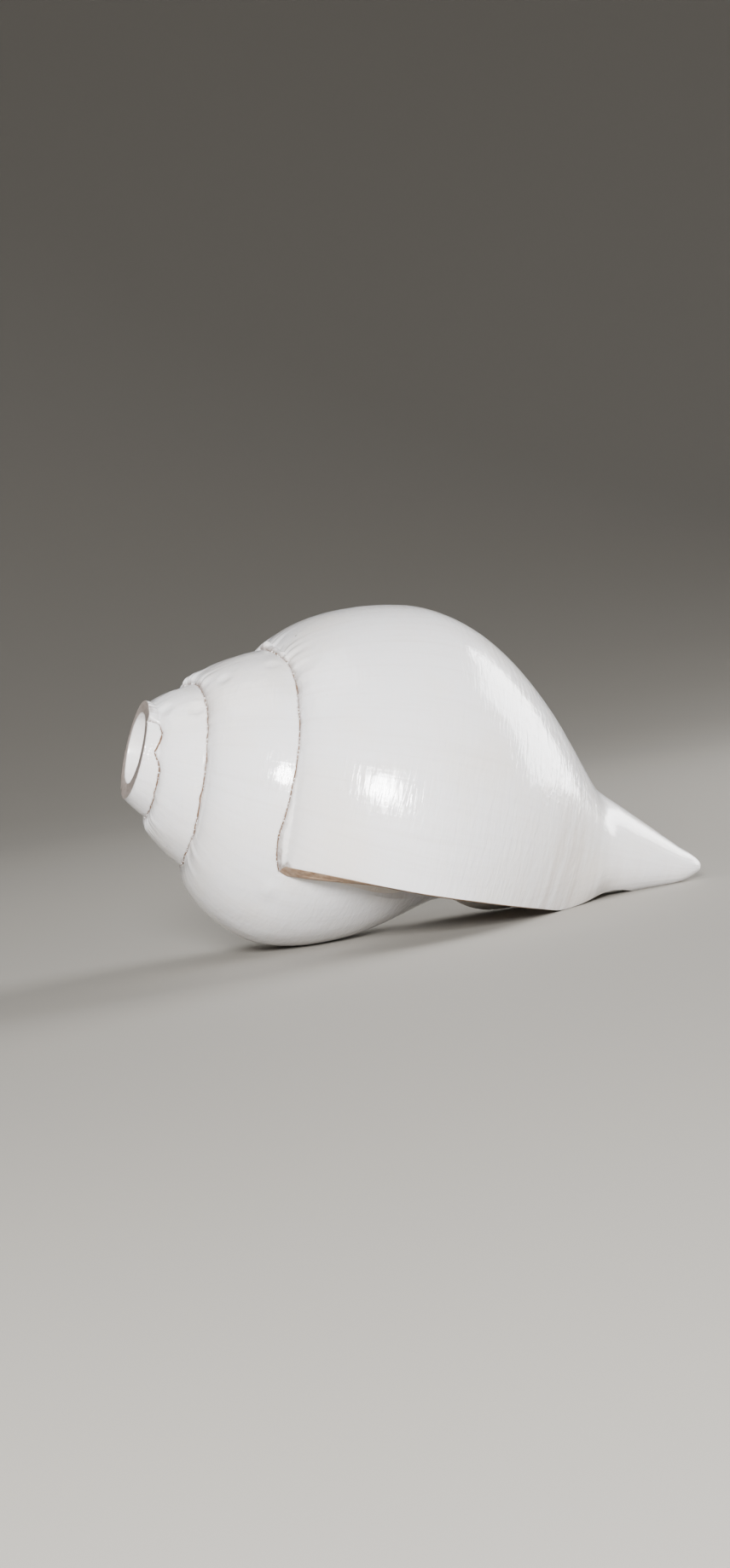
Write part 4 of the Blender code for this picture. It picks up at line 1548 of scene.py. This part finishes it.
@dataclass
class Studio:
    """Pale floor that rises into an even cove, and soft lights. Sizes in metres."""

    flat_radius: float = 0.8
    cove_radius: float = 2.2
    wall_height: float = 4.2
    sides: int = 96
    steps: int = 24
    shell_middle: tuple[float, float, float] = (0.0, 0.0, 0.045)
    air: str = "#E4E6EA"
    air_strength: float = 0.04
    lamps: tuple[Lamp, ...] = (
        Lamp("front softbox", "ELLIPSE", (-0.12, 0.22, 0.97), 1.35, (0.36, 0.34), 42.0),
        Lamp("front dish", "DISK", (-0.05, 0.14, 0.99), 1.25, (0.16, 0.16), 5.0),
        Lamp("back softbox", "RECTANGLE", (0.78, 0.42, -0.46), 0.95, (0.55, 0.8), 22.0),
        Lamp("top fill", "RECTANGLE", (-0.5, 1.0, 0.1), 1.5, (0.8, 0.8), 6.0))

    def floor(self) -> bpy.types.Object:
        """One turned sheet: flat in the middle, curving up all round.

        Returns:
            The sheet.
        """
        profile = [(0.0, 0.0), (0.6 * self.flat_radius, 0.0), (self.flat_radius, 0.0)]
        for k in range(1, self.steps + 1):
            a = 0.5 * math.pi * k / self.steps
            profile.append((self.flat_radius + self.cove_radius * math.sin(a),
                            self.cove_radius * (1.0 - math.cos(a))))
        profile.append((self.flat_radius + self.cove_radius, self.wall_height))
        points = [(0.0, 0.0, 0.0)]
        faces: list[tuple[int, ...]] = []
        for ring, (r, z) in enumerate(profile[1:]):
            for j in range(self.sides):
                a = 2.0 * math.pi * j / self.sides
                points.append((r * math.cos(a), r * math.sin(a), z))
            here = 1 + ring * self.sides
            for j in range(self.sides):
                k = (j + 1) % self.sides
                if ring == 0:
                    faces.append((0, here + j, here + k))
                else:
                    faces.append((here - self.sides + j, here + j, here + k, here - self.sides + k))
        item = link_mesh("studio_floor", np.array(points), faces)
        item.data.materials.append(StudioPaint().build())
        item.data.shade_smooth()
        return item

    def light(self, eye: Matrix) -> None:
        """Place the lamps and the even light of the air.

        Args:
            eye: the camera's matrix.
        """
        axes = tuple(eye.col[k].to_3d() for k in range(3))
        for lamp in self.lamps:
            lamp.build(axes, Vector(self.shell_middle))
        world = bpy.context.scene.world or bpy.data.worlds.new("studio air")
        bpy.context.scene.world = world
        world.use_nodes = True
        shade = world.node_tree.nodes["Background"]
        shade.inputs["Color"].default_value = linear(self.air)
        shade.inputs["Strength"].default_value = self.air_strength


@dataclass
class PhotoCamera:
    """Camera that looks at the shell from where the photograph was taken."""

    pose: RestPose
    axis_dip: float = math.radians(12.028)
    axis_turn: float = math.radians(14.511)
    rim_pixel: tuple[float, float] = (168.964, 882.026)
    frame_pixels: tuple[int, int] = (856, 1838)
    pixels_per_mm: float = 4.58
    distance_mm: float = 900.0
    half_length_mm: float = 75.0

    def build(self) -> bpy.types.Object:
        """Place the camera and make it the scene's own.

        Returns:
            The camera object.
        """
        dip, turn = self.axis_dip, self.axis_turn
        along = Vector((math.cos(turn) * math.cos(dip), -math.cos(turn) * math.sin(dip), -math.sin(turn)))
        upward = Vector((math.sin(dip), math.cos(dip), 0.0))
        toward = along.cross(upward)
        to_camera = Matrix((along, -toward, upward)).transposed()
        middle = Vector(self.frame_pixels) * 0.5
        offset = Vector(((self.rim_pixel[0] - middle.x) / self.pixels_per_mm,
                         -(self.rim_pixel[1] - middle.y) / self.pixels_per_mm,
                         self.half_length_mm * math.sin(turn)))
        spot = to_camera.transposed() @ (Vector((0.0, 0.0, self.distance_mm)) - offset)
        world = self.pose.turn() @ to_camera.transposed()
        data = bpy.data.cameras.new("photo camera")
        data.sensor_fit = "VERTICAL"
        data.sensor_height = 36.0
        data.lens = data.sensor_height * self.distance_mm / (self.frame_pixels[1] / self.pixels_per_mm)
        data.clip_start = 0.05
        data.clip_end = 50.0
        item = bpy.data.objects.new("photo camera", data)
        bpy.context.scene.collection.objects.link(item)
        matrix = world.to_4x4()
        matrix.translation = Vector(self.pose.place(np.array([tuple(spot)]))[0])
        item.matrix_world = matrix
        bpy.context.scene.camera = item
        return item


def main() -> None:
    """Build the shell, its stage, its lights and its camera in order."""
    logging.basicConfig(level=logging.INFO, format="%(name)s: %(message)s")
    conch = Conch()
    camera = PhotoCamera(conch.pose).build()
    pieces = conch.build()
    studio = Studio()
    studio.floor()
    studio.light(camera.matrix_world.copy())
    LOG.info("pieces: %s", ", ".join(piece.name for piece in pieces))


if __name__ == "__main__":
    main()
